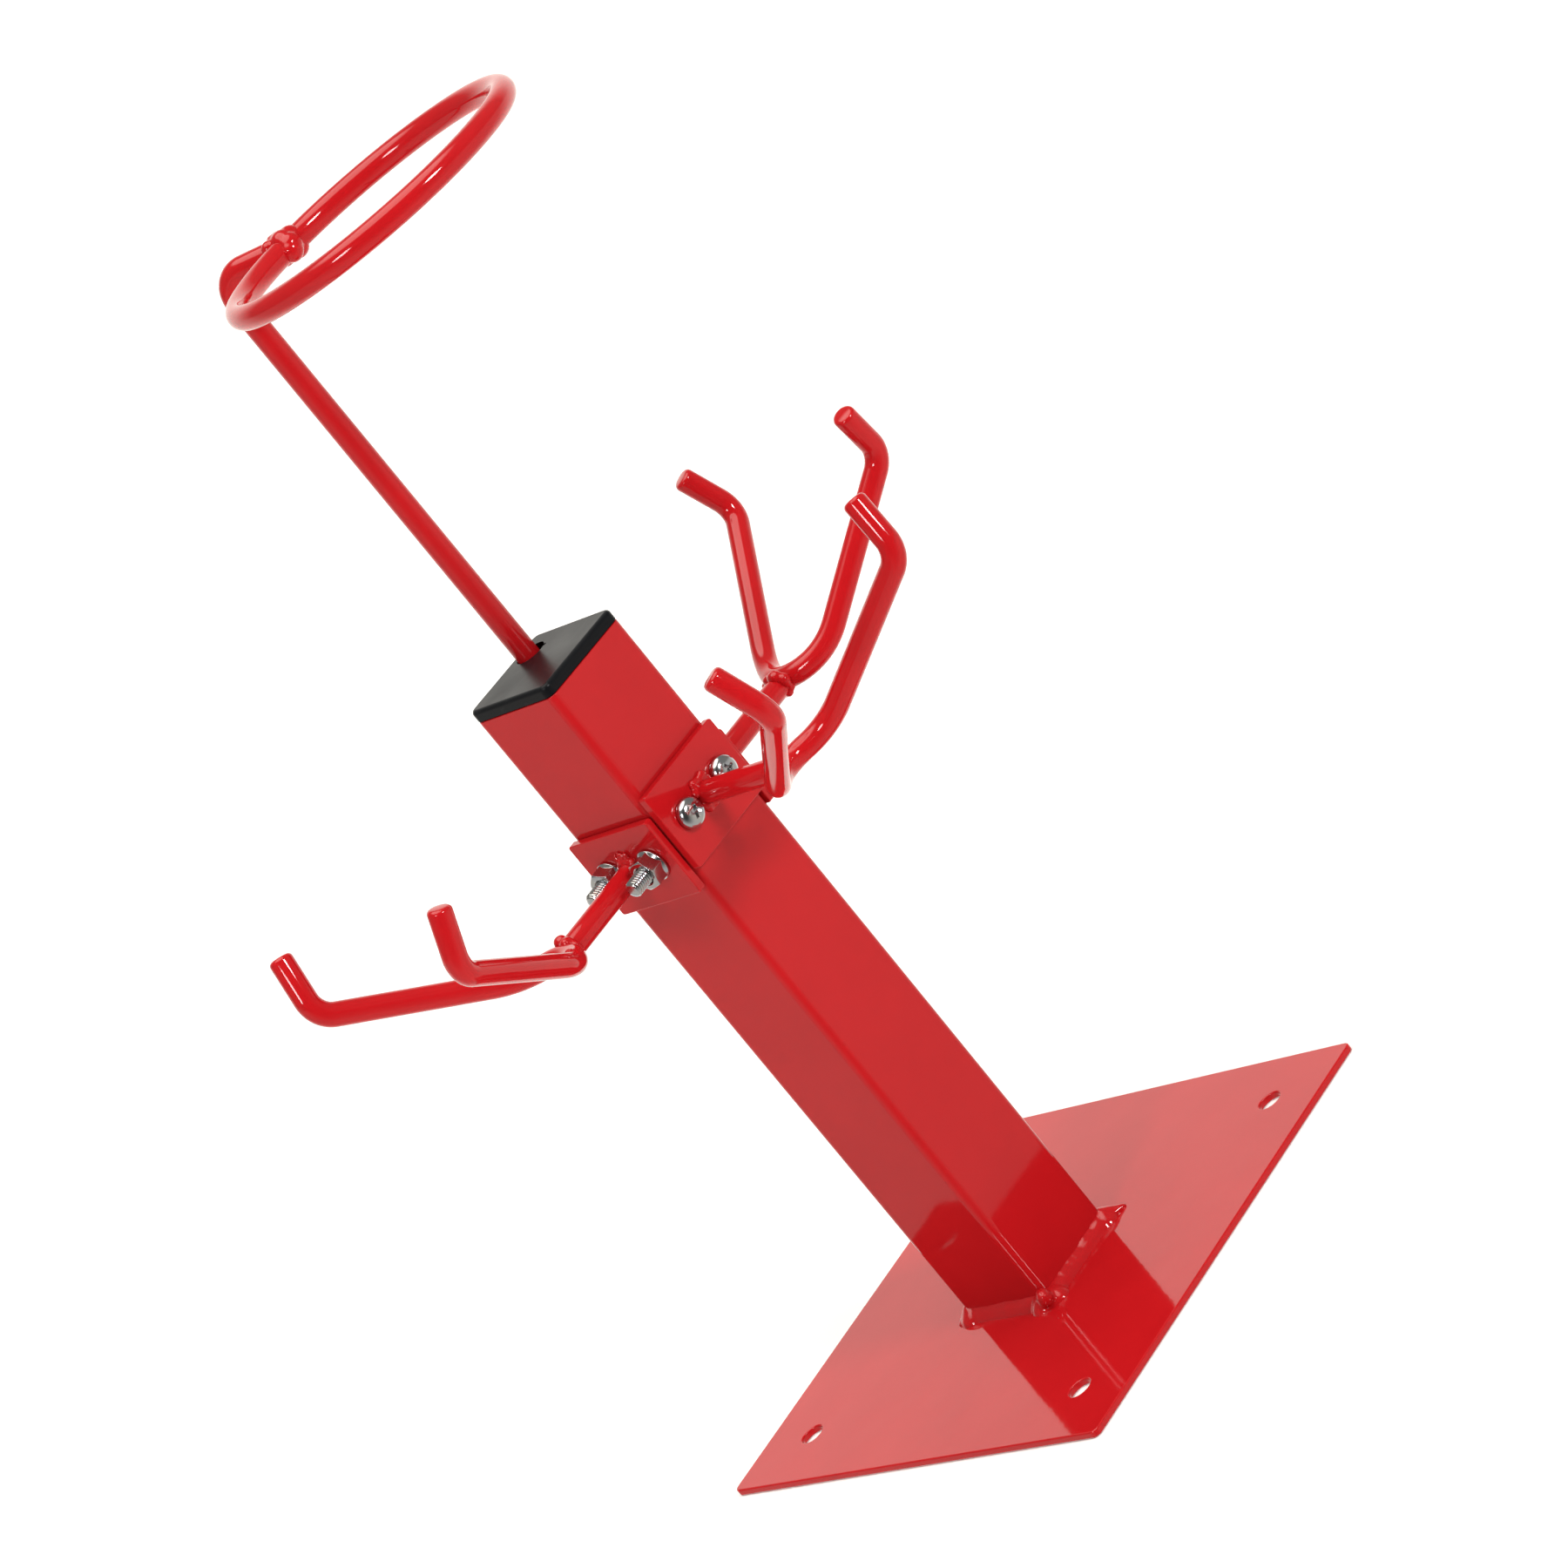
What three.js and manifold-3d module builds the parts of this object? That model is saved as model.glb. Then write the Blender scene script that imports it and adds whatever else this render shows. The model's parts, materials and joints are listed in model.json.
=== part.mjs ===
// Spray-gun stand for a workbench. A square base plate carries a square post. Three forked gun cradles
// are bolted round the post, and a strainer ring swivels on a rod that stands in the post's end cap.
// Millimetres, +Z up. The origin is the centre of the base plate's underside.
// The front cradle faces -Y, the side cradle faces +X and the rear cradle faces +Y.

import * as THREE from 'three';
import { mergeVertices } from 'three/addons/utils/BufferGeometryUtils.js';
import Module from 'manifold-3d';

const wasm = await Module();
wasm.setup();

// ---------------------------------------------------------------- driving dimensions

// Clearances
const contactGap = 0.3; // between two pieces that rest on each other
const screwClearance = 0.35; // radial, round a screw in its hole
const nutToArm = 0.4; // between a nut's flange and the arm beside it
const rowGap = 0.5; // between a screw of one row and the row that crosses it
const rodToSkirt = 0.5; // between the strainer rod and the end cap's skirt

// Base plate
const baseSide = 178;
const baseThickness = 2.5;
const baseCornerRadius = 2.5;
const baseHoleInset = 23; // hole centre to plate edge
const baseHoleRadius = 4.1;

// Post
const tubeWidth = 40;
const tubeWall = 1.5;
const tubeCornerRadius = 3;
const postLength = 261.2;
const footWeldLeg = 5;

// End cap
const capThickness = 4;
const capBevel = 1.5;
const capSkirtDepth = 14;
const capSkirtWall = 1.2;
const capHoleShift = { x: 1, y: 0.5 }; // oversize hole, from the rod's axis

// Round bar of the cradles, the strainer rod and the ring
const barRadius = 4;

// Cradle plates and arms
const plateHeight = 29;
const plateThickness = 3;
const plateCornerRadius = 1;
const armReach = 42; // tube face to the fork's back bend, front and side cradles
const rearArmExtra = 7;
const lowRowHeight = 200; // front and rear cradles

// Fork: one prong, measured from the back bend
const forkBend = { side: 15.4, reach: 11, rise: 0.8, radius: 24.5 };
const forkShoulder = { side: 38, reach: 61.4, rise: 37, radius: 9 };
const forkTip = { side: 42.3, reach: 55, rise: 57.2 };
const forkBackRadius = 13.5;

// Fasteners
const screwRadius = 2.95;
const screwHeadRadius = 5.2;
const screwHeadHeight = 3.9;
const lengthwiseStub = 6.8; // thread standing out of the nut
const crosswiseStub = 5.1;
const recessWidth = 1.3;
const recessLength = 5.6;
const recessDepth = 2;
const nutAcrossFlats = 10;
const nutHeight = 6;
const nutFlangeRadius = 5.9;
const nutFlangeHeight = 1.3;

// Weld deposits: half sizes in bar radii
const forkWeldShape = { x: 1.5, y: 1.1, z: 1.35 };
const plateWeldShape = { x: 1.05, y: 0.95, z: 0.9 };
const ringWeldShape = { x: 1.5, y: 1.6, z: 1.45 };
const plateWeldRise = 0.6; // deposit's centre, beyond the arm's surface

// Strainer rod and ring
const rodFootShift = 3.05; // from the axis of the screw under it towards the post's middle
const elbowHeight = 422; // axis of the rod's bent end
const elbowRadius = 8.3;
const ringRadius = 51.4; // to the bar's centre line
const ringStandoff = 24; // rod's axis to the nearest point of the ring's centre line
const ringBearing = 4.5; // degrees from +X
const ringDrop = 1; // ring centre below the elbow's axis
const ringTilt = 2.8; // degrees, far side raised
const ringJoint = 170.5; // degrees round the ring, where the rod's end is welded

// Mesh fineness
const barSides = 14;
const barStep = 4.5;
const roundSegments = 20;
const cornerSegments = 3; // per curve; an arc takes twice as many
const holeSegments = 8;

// ---------------------------------------------------------------- derived dimensions

const tubeHalf = tubeWidth / 2;
const postFoot = baseThickness + contactGap;
const postTop = postFoot + postLength;
const plateWidth = tubeWidth; // plates on neighbouring faces meet at the post's corner
const plateFace = tubeHalf + contactGap + plateThickness; // outer face of a cradle plate
const rearArmReach = armReach + rearArmExtra;
const screwHoleRadius = screwRadius + screwClearance;
const screwSpacing = 2 * (barRadius + nutToArm + nutFlangeRadius);
const highRowHeight = lowRowHeight + 2 * screwRadius + rowGap;
const lengthwiseLength = 2 * (plateFace + contactGap) + nutHeight + lengthwiseStub;
const crosswiseLength = plateFace + tubeHalf + 2 * contactGap + nutHeight + crosswiseStub;
const skirtHalf = tubeHalf - tubeWall - contactGap;
const rodX = -(skirtHalf - capSkirtWall - rodToSkirt - barRadius);
const rodY = screwSpacing / 2 - rodFootShift;
const rodFoot = highRowHeight + screwRadius + contactGap; // the rod rests on a crosswise screw
const capHoleRadius = barRadius + contactGap + Math.hypot(capHoleShift.x, capHoleShift.y);
const ringReach = ringRadius + ringStandoff; // rod's axis to the ring's centre

// ---------------------------------------------------------------- finishes

const redPowderCoat = { color: 0xc4161d, roughness: 0.16, metalness: 0 };
const blackPlastic = { color: 0x2a2b2d, roughness: 0.42, metalness: 0 };
const brightZinc = { color: 0xc9cbce, roughness: 0.24, metalness: 1 };

// ---------------------------------------------------------------- scene helpers

const stand = new THREE.Group();

/** Adds a named mesh with its own material to a group and returns the mesh. */
function addPiece(parent, name, geometry, finish) {
  const mesh = new THREE.Mesh(geometry, new THREE.MeshStandardMaterial(finish));
  mesh.name = name;
  parent.add(mesh);
  return mesh;
}

/** Adds an empty group, turned about the post's axis, and returns it. */
function addGroup(parent, turn = 0) {
  const group = new THREE.Group();
  group.rotation.z = turn;
  parent.add(group);
  return group;
}

// ---------------------------------------------------------------- booleans

/** Turns a closed geometry into a solid, leaving out the flat triangles at a lathe's poles. */
function toSolid(geometry) {
  const bare = geometry.clone();
  bare.deleteAttribute('normal');
  bare.deleteAttribute('uv');
  const merged = mergeVertices(bare, 1e-4);
  const corners = merged.index.array;
  const kept = [];
  for (let i = 0; i < corners.length; i += 3) {
    const [a, b, c] = [corners[i], corners[i + 1], corners[i + 2]];
    if (a !== b && b !== c && c !== a) kept.push(a, b, c);
  }
  const vertProperties = new Float32Array(merged.attributes.position.array);
  const triVerts = new Uint32Array(kept);
  return new wasm.Manifold(new wasm.Mesh({ numProp: 3, vertProperties, triVerts }));
}

/** Turns a solid back into a geometry. */
function toGeometry(solid) {
  const mesh = solid.getMesh();
  const geometry = new THREE.BufferGeometry();
  geometry.setAttribute('position', new THREE.BufferAttribute(mesh.vertProperties, 3));
  geometry.setIndex(new THREE.BufferAttribute(mesh.triVerts, 1));
  geometry.computeVertexNormals();
  return geometry;
}

/** Cuts every tool geometry out of a body geometry. */
function cut(body, ...tools) {
  const solid = tools.reduce((rest, tool) => rest.subtract(toSolid(tool)), toSolid(body));
  return toGeometry(solid);
}

/** Joins geometries that overlap into one body. */
function join(first, ...others) {
  const solid = others.reduce((sum, other) => sum.add(toSolid(other)), toSolid(first));
  return toGeometry(solid);
}

/** Keeps what two geometries share. */
function overlap(first, second) {
  return toGeometry(toSolid(first).intersect(toSolid(second)));
}

// ---------------------------------------------------------------- shape helpers

/** Outline of a rectangle with rounded corners, centred on the origin. */
function roundedRectangle(width, height, radius, Outline = THREE.Shape) {
  const x = width / 2 - radius;
  const y = height / 2 - radius;
  const outline = new Outline();
  outline.absarc(x, y, radius, 0, Math.PI / 2);
  outline.absarc(-x, y, radius, Math.PI / 2, Math.PI);
  outline.absarc(-x, -y, radius, Math.PI, Math.PI * 1.5);
  outline.absarc(x, -y, radius, Math.PI * 1.5, Math.PI * 2);
  return outline;
}

/** A round hole for a shape. */
function roundHole(x, y, radius) {
  return new THREE.Path().absarc(x, y, radius, 0, Math.PI * 2, true);
}

/** A flat slab of a shape, from z = 0 upwards. */
function slab(shape, depth, curveSegments = cornerSegments) {
  return new THREE.ExtrudeGeometry(shape, { depth, curveSegments, bevelEnabled: false });
}

/** A rod of round section along one axis letter, centred on the origin. */
function roundRod(radius, length, axis, segments = roundSegments) {
  const rod = new THREE.CylinderGeometry(radius, radius, length, segments);
  if (axis === 'x') rod.rotateZ(Math.PI / 2);
  if (axis === 'z') rod.rotateX(Math.PI / 2);
  return rod;
}

/** An arc between two points about a centre, both the same distance from it. */
class BendCurve extends THREE.Curve {
  constructor(centre, start, end) {
    super();
    this.centre = centre;
    this.start = start.clone().sub(centre);
    this.end = end.clone().sub(centre);
    this.angle = this.start.angleTo(this.end);
  }

  getPoint(t, target = new THREE.Vector3()) {
    const startShare = Math.sin((1 - t) * this.angle) / Math.sin(this.angle);
    const endShare = Math.sin(t * this.angle) / Math.sin(this.angle);
    target.copy(this.centre);
    target.addScaledVector(this.start, startShare);
    return target.addScaledVector(this.end, endShare);
  }
}

/** A centre line through corner points, each inner corner rounded by its radius. */
function bentPath(corners, radii) {
  const path = new THREE.CurvePath();
  let from = corners[0];
  for (let i = 1; i < corners.length - 1; i += 1) {
    const corner = corners[i];
    const back = corners[i - 1].clone().sub(corner);
    const ahead = corners[i + 1].clone().sub(corner);
    const halfAngle = back.angleTo(ahead) / 2;
    const room = Math.min(back.length(), ahead.length()) / 2;
    const setback = Math.min(radii[i - 1] / Math.tan(halfAngle), room);
    back.normalize();
    ahead.normalize();
    const start = corner.clone().addScaledVector(back, setback);
    const end = corner.clone().addScaledVector(ahead, setback);
    const inward = back.clone().add(ahead).normalize();
    const centre = corner.clone().addScaledVector(inward, setback / Math.cos(halfAngle));
    path.add(new THREE.LineCurve3(from, start));
    path.add(new BendCurve(centre, start, end));
    from = end;
  }
  path.add(new THREE.LineCurve3(from, corners[corners.length - 1]));
  return path;
}

/** A round bar along a centre line. */
function roundBar(path, radius = barRadius) {
  const section = new THREE.Shape().absarc(0, 0, radius, 0, Math.PI * 2);
  const steps = Math.ceil(path.getLength() / barStep);
  const curveSegments = barSides / 2;
  return new THREE.ExtrudeGeometry(section, { steps, curveSegments, extrudePath: path });
}

/** A rounded weld deposit about a point, cleared of the pieces that it joins. */
function weldDeposit(centre, shape, pieces) {
  const blob = new THREE.SphereGeometry(barRadius, 12, 8);
  blob.scale(shape.x, shape.y, shape.z);
  blob.translate(centre.x, centre.y, centre.z);
  return cut(blob, ...pieces);
}

// ---------------------------------------------------------------- base plate

function buildBasePlate(parent) {
  const outline = roundedRectangle(baseSide, baseSide, baseCornerRadius);
  const holeOffset = baseSide / 2 - baseHoleInset;
  for (const x of [-holeOffset, holeOffset]) {
    for (const y of [-holeOffset, holeOffset]) {
      outline.holes.push(roundHole(x, y, baseHoleRadius));
    }
  }
  addPiece(parent, 'base_plate', slab(outline, baseThickness, holeSegments), redPowderCoat);
}

// ---------------------------------------------------------------- post and its foot weld

function buildPost(parent) {
  const outline = roundedRectangle(tubeWidth, tubeWidth, tubeCornerRadius);
  const boreWidth = tubeWidth - 2 * tubeWall;
  outline.holes.push(roundedRectangle(boreWidth, boreWidth, tubeCornerRadius - tubeWall, THREE.Path));
  const tube = slab(outline, postLength);
  tube.translate(0, 0, postFoot);
  const drills = [];
  for (const offset of [-screwSpacing / 2, screwSpacing / 2]) {
    const lengthwise = roundRod(screwHoleRadius, tubeWidth + 2, 'y');
    drills.push(lengthwise.translate(offset, 0, lowRowHeight));
    const crosswise = roundRod(screwHoleRadius, tubeWidth + 2, 'x');
    drills.push(crosswise.translate(0, offset, highRowHeight));
  }
  addPiece(parent, 'post_tube', cut(tube, ...drills), redPowderCoat);
}

function buildFootWeld(parent) {
  // A four-sided bead round the post: convex, with pointed corners.
  const halfWidths = [
    [0, 0],
    [tubeHalf + footWeldLeg, 0],
    [tubeHalf + footWeldLeg * 0.86, footWeldLeg * 0.42],
    [tubeHalf + footWeldLeg * 0.5, footWeldLeg * 0.78],
    [tubeHalf + contactGap + 0.4, footWeldLeg],
    [0, footWeldLeg],
  ];
  const profile = halfWidths.map(([half, height]) => new THREE.Vector2(half * Math.SQRT2, height));
  const bead = new THREE.LatheGeometry(profile, 4);
  bead.rotateX(Math.PI / 2);
  bead.rotateZ(Math.PI / 4);
  bead.translate(0, 0, postFoot);
  const postWidth = tubeWidth + 2 * contactGap;
  const post = slab(roundedRectangle(postWidth, postWidth, tubeCornerRadius + contactGap), postLength);
  addPiece(parent, 'foot_weld', cut(bead, post), redPowderCoat);
}

// ---------------------------------------------------------------- end cap

function buildEndCap(parent) {
  const underside = postTop + contactGap;
  const flangeOutline = roundedRectangle(
    tubeWidth - 2 * capBevel,
    tubeWidth - 2 * capBevel,
    Math.max(tubeCornerRadius - capBevel, 0.5),
  );
  const bevelled = new THREE.ExtrudeGeometry(flangeOutline, {
    depth: capThickness,
    curveSegments: cornerSegments,
    bevelSize: capBevel,
    bevelThickness: capBevel,
    bevelSegments: 3,
  });
  bevelled.translate(0, 0, underside - capBevel);
  const keep = new THREE.BoxGeometry(tubeWidth * 2, tubeWidth * 2, capThickness);
  keep.translate(0, 0, underside + capThickness / 2);
  const flange = overlap(bevelled, keep);
  const skirtWidth = 2 * skirtHalf;
  const skirtRadius = Math.max(tubeCornerRadius - tubeWall - contactGap, 0.5);
  const skirtOutline = roundedRectangle(skirtWidth, skirtWidth, skirtRadius);
  const skirtBore = skirtWidth - 2 * capSkirtWall;
  skirtOutline.holes.push(roundedRectangle(skirtBore, skirtBore, 0.5, THREE.Path));
  const skirt = slab(skirtOutline, capSkirtDepth + capThickness / 2);
  skirt.translate(0, 0, underside - capSkirtDepth);
  const rodHole = roundRod(capHoleRadius, capThickness * 4, 'z');
  rodHole.translate(rodX + capHoleShift.x, rodY + capHoleShift.y, underside);
  addPiece(parent, 'end_cap', cut(join(flange, skirt), rodHole), blackPlastic);
}

// ---------------------------------------------------------------- cradles

/** Centre line of a fork whose back bend is at reach y and height z; +Y is outwards. */
function forkPath(backReach, height) {
  const at = (sign, point) => new THREE.Vector3(
    sign * point.side,
    backReach + point.reach,
    height + point.rise,
  );
  const corners = [
    at(-1, forkTip),
    at(-1, forkShoulder),
    at(-1, forkBend),
    new THREE.Vector3(0, backReach, height),
    at(1, forkBend),
    at(1, forkShoulder),
    at(1, forkTip),
  ];
  const outerRadii = [forkShoulder.radius, forkBend.radius];
  return bentPath(corners, [...outerRadii, forkBackRadius, ...[...outerRadii].reverse()]);
}

/** One cradle: plate, arm, fork and the welds between them, built facing +Y. */
function buildCradle(parent, name, turn, height, reach) {
  const cradle = addGroup(parent, turn);

  const plateOutline = roundedRectangle(plateWidth, plateHeight, plateCornerRadius);
  plateOutline.holes.push(roundHole(-screwSpacing / 2, 0, screwHoleRadius));
  plateOutline.holes.push(roundHole(screwSpacing / 2, 0, screwHoleRadius));
  const plate = slab(plateOutline, plateThickness, holeSegments);
  plate.rotateX(Math.PI / 2);
  plate.translate(0, plateFace, height);
  addPiece(cradle, `${name}_plate`, plate, redPowderCoat);

  const backReach = tubeHalf + reach;
  const fork = forkPath(backReach, height);
  const backPoint = fork.getPointAt(0.5);
  addPiece(cradle, `${name}_fork`, roundBar(fork), redPowderCoat);

  const armStart = plateFace + contactGap;
  const armEnd = backPoint.y - barRadius - contactGap;
  const arm = roundRod(barRadius, armEnd - armStart, 'y', barSides);
  arm.translate(0, (armStart + armEnd) / 2, height);
  addPiece(cradle, `${name}_arm`, arm, redPowderCoat);

  // Clearance bodies round the bars for the weld deposits.
  const armSpace = roundRod(barRadius + contactGap, reach * 2, 'y', barSides);
  armSpace.translate(0, plateFace, height);
  const forkSpace = roundBar(fork, barRadius + contactGap);

  const forkWeldCentre = new THREE.Vector3(0, armEnd, height);
  const forkWeld = weldDeposit(forkWeldCentre, forkWeldShape, [armSpace, forkSpace]);
  addPiece(cradle, `${name}_fork_weld`, forkWeld, redPowderCoat);

  // The plate welds lie above and below the arm, where no fastener is in the way.
  const plateSpace = new THREE.BoxGeometry(plateWidth, plateWidth, plateHeight);
  plateSpace.translate(0, armStart - plateWidth / 2, height);
  const weldOffset = barRadius + contactGap + plateWeldRise;
  for (const [side, sign] of [['upper', 1], ['lower', -1]]) {
    const centre = new THREE.Vector3(0, armStart, height + sign * weldOffset);
    const deposit = weldDeposit(centre, plateWeldShape, [armSpace, plateSpace]);
    addPiece(cradle, `${name}_plate_weld_${side}`, deposit, redPowderCoat);
  }
}

// ---------------------------------------------------------------- fasteners

/** A cross-recessed pan-head screw; the head's bearing face is at y = 0 and the shank runs to -Y. */
function panHeadScrew(length) {
  const headProfile = [
    [0, -length],
    [screwRadius - 0.6, -length],
    [screwRadius, -length + 0.7],
    [screwRadius, 0],
    [screwHeadRadius - 0.15, 0],
    [screwHeadRadius, screwHeadHeight * 0.16],
    [screwHeadRadius * 0.97, screwHeadHeight * 0.46],
    [screwHeadRadius * 0.8, screwHeadHeight * 0.8],
    [screwHeadRadius * 0.5, screwHeadHeight * 0.96],
    [0, screwHeadHeight],
  ];
  const profile = headProfile.map(([radius, height]) => new THREE.Vector2(radius, height));
  const body = new THREE.LatheGeometry(profile, roundSegments);
  const wings = [
    new THREE.BoxGeometry(recessLength, recessDepth * 2, recessWidth),
    new THREE.BoxGeometry(recessWidth, recessDepth * 2, recessLength),
  ];
  return cut(body, ...wings.map((wing) => wing.translate(0, screwHeadHeight, 0)));
}

/** A flanged hexagon nut; its bearing face is at y = 0 and it stands towards -Y. */
function flangeNut() {
  const hexRadius = nutAcrossFlats / Math.sqrt(3);
  const hexagon = new THREE.CylinderGeometry(hexRadius, hexRadius, nutHeight, 6);
  hexagon.translate(0, -nutHeight / 2, 0);
  const flatRadius = nutAcrossFlats / 2;
  const chamferProfile = [
    [0, -nutHeight],
    [flatRadius - 0.1, -nutHeight],
    [hexRadius, -nutHeight + 0.9],
    [hexRadius, 0],
    [0, 0],
  ];
  const envelope = new THREE.LatheGeometry(
    chamferProfile.map(([radius, height]) => new THREE.Vector2(radius, height)),
    roundSegments,
  );
  const flangeTop = nutFlangeRadius - 0.35;
  const flange = new THREE.CylinderGeometry(nutFlangeRadius, flangeTop, nutFlangeHeight, roundSegments);
  flange.translate(0, -nutFlangeHeight / 2, 0);
  const bore = roundRod(screwRadius + contactGap, nutHeight * 3, 'y');
  return cut(join(overlap(hexagon, envelope), flange), bore);
}

/** A pair of through screws and their nuts, heads towards +Y of a turned group. */
function buildScrewRow(parent, name, turn, height, length, nutFace) {
  const row = addGroup(parent, turn);
  for (const [side, x] of [['left', -screwSpacing / 2], ['right', screwSpacing / 2]]) {
    const screw = addPiece(row, `${name}_screw_${side}`, panHeadScrew(length), brightZinc);
    screw.position.set(x, plateFace + contactGap, height);
    const nut = addPiece(row, `${name}_nut_${side}`, flangeNut(), brightZinc);
    nut.position.set(x, -nutFace - contactGap, height);
  }
}

// ---------------------------------------------------------------- strainer rod and ring

function buildStrainer(parent) {
  const strainer = addGroup(parent);
  strainer.position.set(rodX, rodY, 0);

  const bearing = THREE.MathUtils.degToRad(ringBearing);
  const tilt = THREE.MathUtils.degToRad(ringTilt);
  const placeRing = (object) => {
    object.rotateY(-tilt);
    object.rotateZ(bearing);
    const away = new THREE.Vector2(Math.cos(bearing), Math.sin(bearing)).multiplyScalar(ringReach);
    return object.translate(away.x, away.y, elbowHeight - ringDrop);
  };
  const ringBar = (radius) => placeRing(new THREE.TorusGeometry(ringRadius, radius, barSides, 60));
  addPiece(strainer, 'strainer_ring', ringBar(barRadius), redPowderCoat);

  const joint = THREE.MathUtils.degToRad(ringJoint);
  const jointPoint = new THREE.Vector3(ringRadius * Math.cos(joint), ringRadius * Math.sin(joint), 0);
  jointPoint.applyAxisAngle(new THREE.Vector3(0, 1, 0), -tilt);
  jointPoint.applyAxisAngle(new THREE.Vector3(0, 0, 1), bearing);
  jointPoint.x += Math.cos(bearing) * ringReach;
  jointPoint.y += Math.sin(bearing) * ringReach;
  jointPoint.z += elbowHeight - ringDrop;

  const corners = [
    new THREE.Vector3(0, 0, rodFoot),
    new THREE.Vector3(0, 0, elbowHeight),
    jointPoint,
  ];
  const rodPath = bentPath(corners, [elbowRadius]);
  const ringSpace = ringBar(barRadius + contactGap);
  const rod = cut(roundBar(rodPath), ringSpace);
  addPiece(strainer, 'strainer_rod', rod, redPowderCoat);

  const legDirection = jointPoint.clone().sub(corners[1]).normalize();
  const weldCentre = jointPoint.clone().addScaledVector(legDirection, -barRadius * 0.9);
  const rodSpace = roundBar(rodPath, barRadius + contactGap);
  const weld = weldDeposit(weldCentre, ringWeldShape, [ringSpace, rodSpace]);
  addPiece(strainer, 'ring_weld', weld, redPowderCoat);
}

// ---------------------------------------------------------------- assembly

buildBasePlate(stand);
buildPost(stand);
buildFootWeld(stand);
buildEndCap(stand);
buildCradle(stand, 'front', Math.PI, lowRowHeight, armReach);
buildCradle(stand, 'side', -Math.PI / 2, highRowHeight, armReach);
buildCradle(stand, 'rear', 0, lowRowHeight, rearArmReach);
buildScrewRow(stand, 'lengthwise', 0, lowRowHeight, lengthwiseLength, plateFace);
buildScrewRow(stand, 'crosswise', -Math.PI / 2, highRowHeight, crosswiseLength, tubeHalf);
buildStrainer(stand);

export default stand;
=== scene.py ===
"""Looks of a bench-mounted spray-gun stand: a red powder-coated post on a square base plate, three
forked gun cradles bolted round it, and a strainer ring that swivels on a rod in the post's end cap.

Every length is in metres. +Z is up, the origin is the centre of the base plate's underside, the front
cradle faces -Y, the side cradle +X and the rear cradle +Y.
"""

import json
import logging
import math
import random
from dataclasses import dataclass, field
from enum import Enum

import bmesh
import bpy
from mathutils import Matrix, Vector, noise


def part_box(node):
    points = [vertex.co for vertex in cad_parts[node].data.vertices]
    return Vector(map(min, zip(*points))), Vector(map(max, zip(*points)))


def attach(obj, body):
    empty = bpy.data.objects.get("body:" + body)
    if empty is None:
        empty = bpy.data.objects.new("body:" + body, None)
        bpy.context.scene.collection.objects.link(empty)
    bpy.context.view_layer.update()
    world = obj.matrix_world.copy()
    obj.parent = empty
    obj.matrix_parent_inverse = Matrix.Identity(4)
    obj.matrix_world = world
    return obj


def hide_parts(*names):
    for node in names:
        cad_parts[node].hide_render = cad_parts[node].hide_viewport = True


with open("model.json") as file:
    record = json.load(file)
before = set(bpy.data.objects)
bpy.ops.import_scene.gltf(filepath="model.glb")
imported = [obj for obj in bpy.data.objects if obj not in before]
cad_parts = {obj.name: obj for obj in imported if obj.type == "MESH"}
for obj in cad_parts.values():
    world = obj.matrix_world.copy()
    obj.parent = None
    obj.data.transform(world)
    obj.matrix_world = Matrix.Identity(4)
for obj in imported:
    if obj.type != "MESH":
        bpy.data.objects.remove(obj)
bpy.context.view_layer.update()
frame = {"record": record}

logging.basicConfig(level=logging.INFO, format="%(name)s: %(message)s")
log = logging.getLogger("spray_gun_stand")

MM = 0.001
MERGE_GAP = 0.002 * MM
LEVEL_GAP = 0.01 * MM
SMOOTH_BELOW = math.radians(50)
SCREW_DRILL = 3.3 * MM


class Body(Enum):
    """The bodies that pieces ride on."""

    STAND = "stand"
    STRAINER = "strainer"


class Slot(Enum):
    """The record's material slots."""

    RED = "red_powder_coat"
    BLACK = "black_plastic"
    ZINC = "bright_zinc"


class Join(Enum):
    """What a tool shape does to the piece that it meets."""

    CUT = "DIFFERENCE"
    ADD = "UNION"
    KEEP_SHARED = "INTERSECT"


class Hand(Enum):
    """The two screws of a row."""

    LEFT = "left"
    RIGHT = "right"


class Rise(Enum):
    """The welds above and below an arm's root, by the sign of their height."""

    UPPER = 1
    LOWER = -1


class Facing(Enum):
    """The side of the post that a cradle or a row of screw heads faces, as a turn from +Y."""

    REAR = 0.0
    SIDE = -math.pi / 2
    FRONT = math.pi

    @property
    def matrix(self) -> Matrix:
        """The turn about the post's axis that takes +Y to this side."""
        return Matrix.Rotation(self.value, 4, "Z")

    @property
    def outward(self) -> Vector:
        """The unit vector that points away from the post on this side."""
        return self.matrix @ Vector((0, 1, 0))

    @property
    def across(self) -> Vector:
        """The unit vector that runs level across this side."""
        return self.matrix @ Vector((1, 0, 0))


class Row(Enum):
    """The two rows of through screws."""

    LENGTHWISE = "lengthwise"
    CROSSWISE = "crosswise"

    @property
    def heads(self) -> Facing:
        """The side of the post that the row's screw heads are on."""
        return Facing.REAR if self is Row.LENGTHWISE else Facing.SIDE

    def node(self, kind: str, hand: Hand) -> str:
        """The CAD node of one of the row's screws or nuts."""
        return f"{self.value}_{kind}_{hand.value}"


# ------------------------------------------------------------------ shader graph


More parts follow.
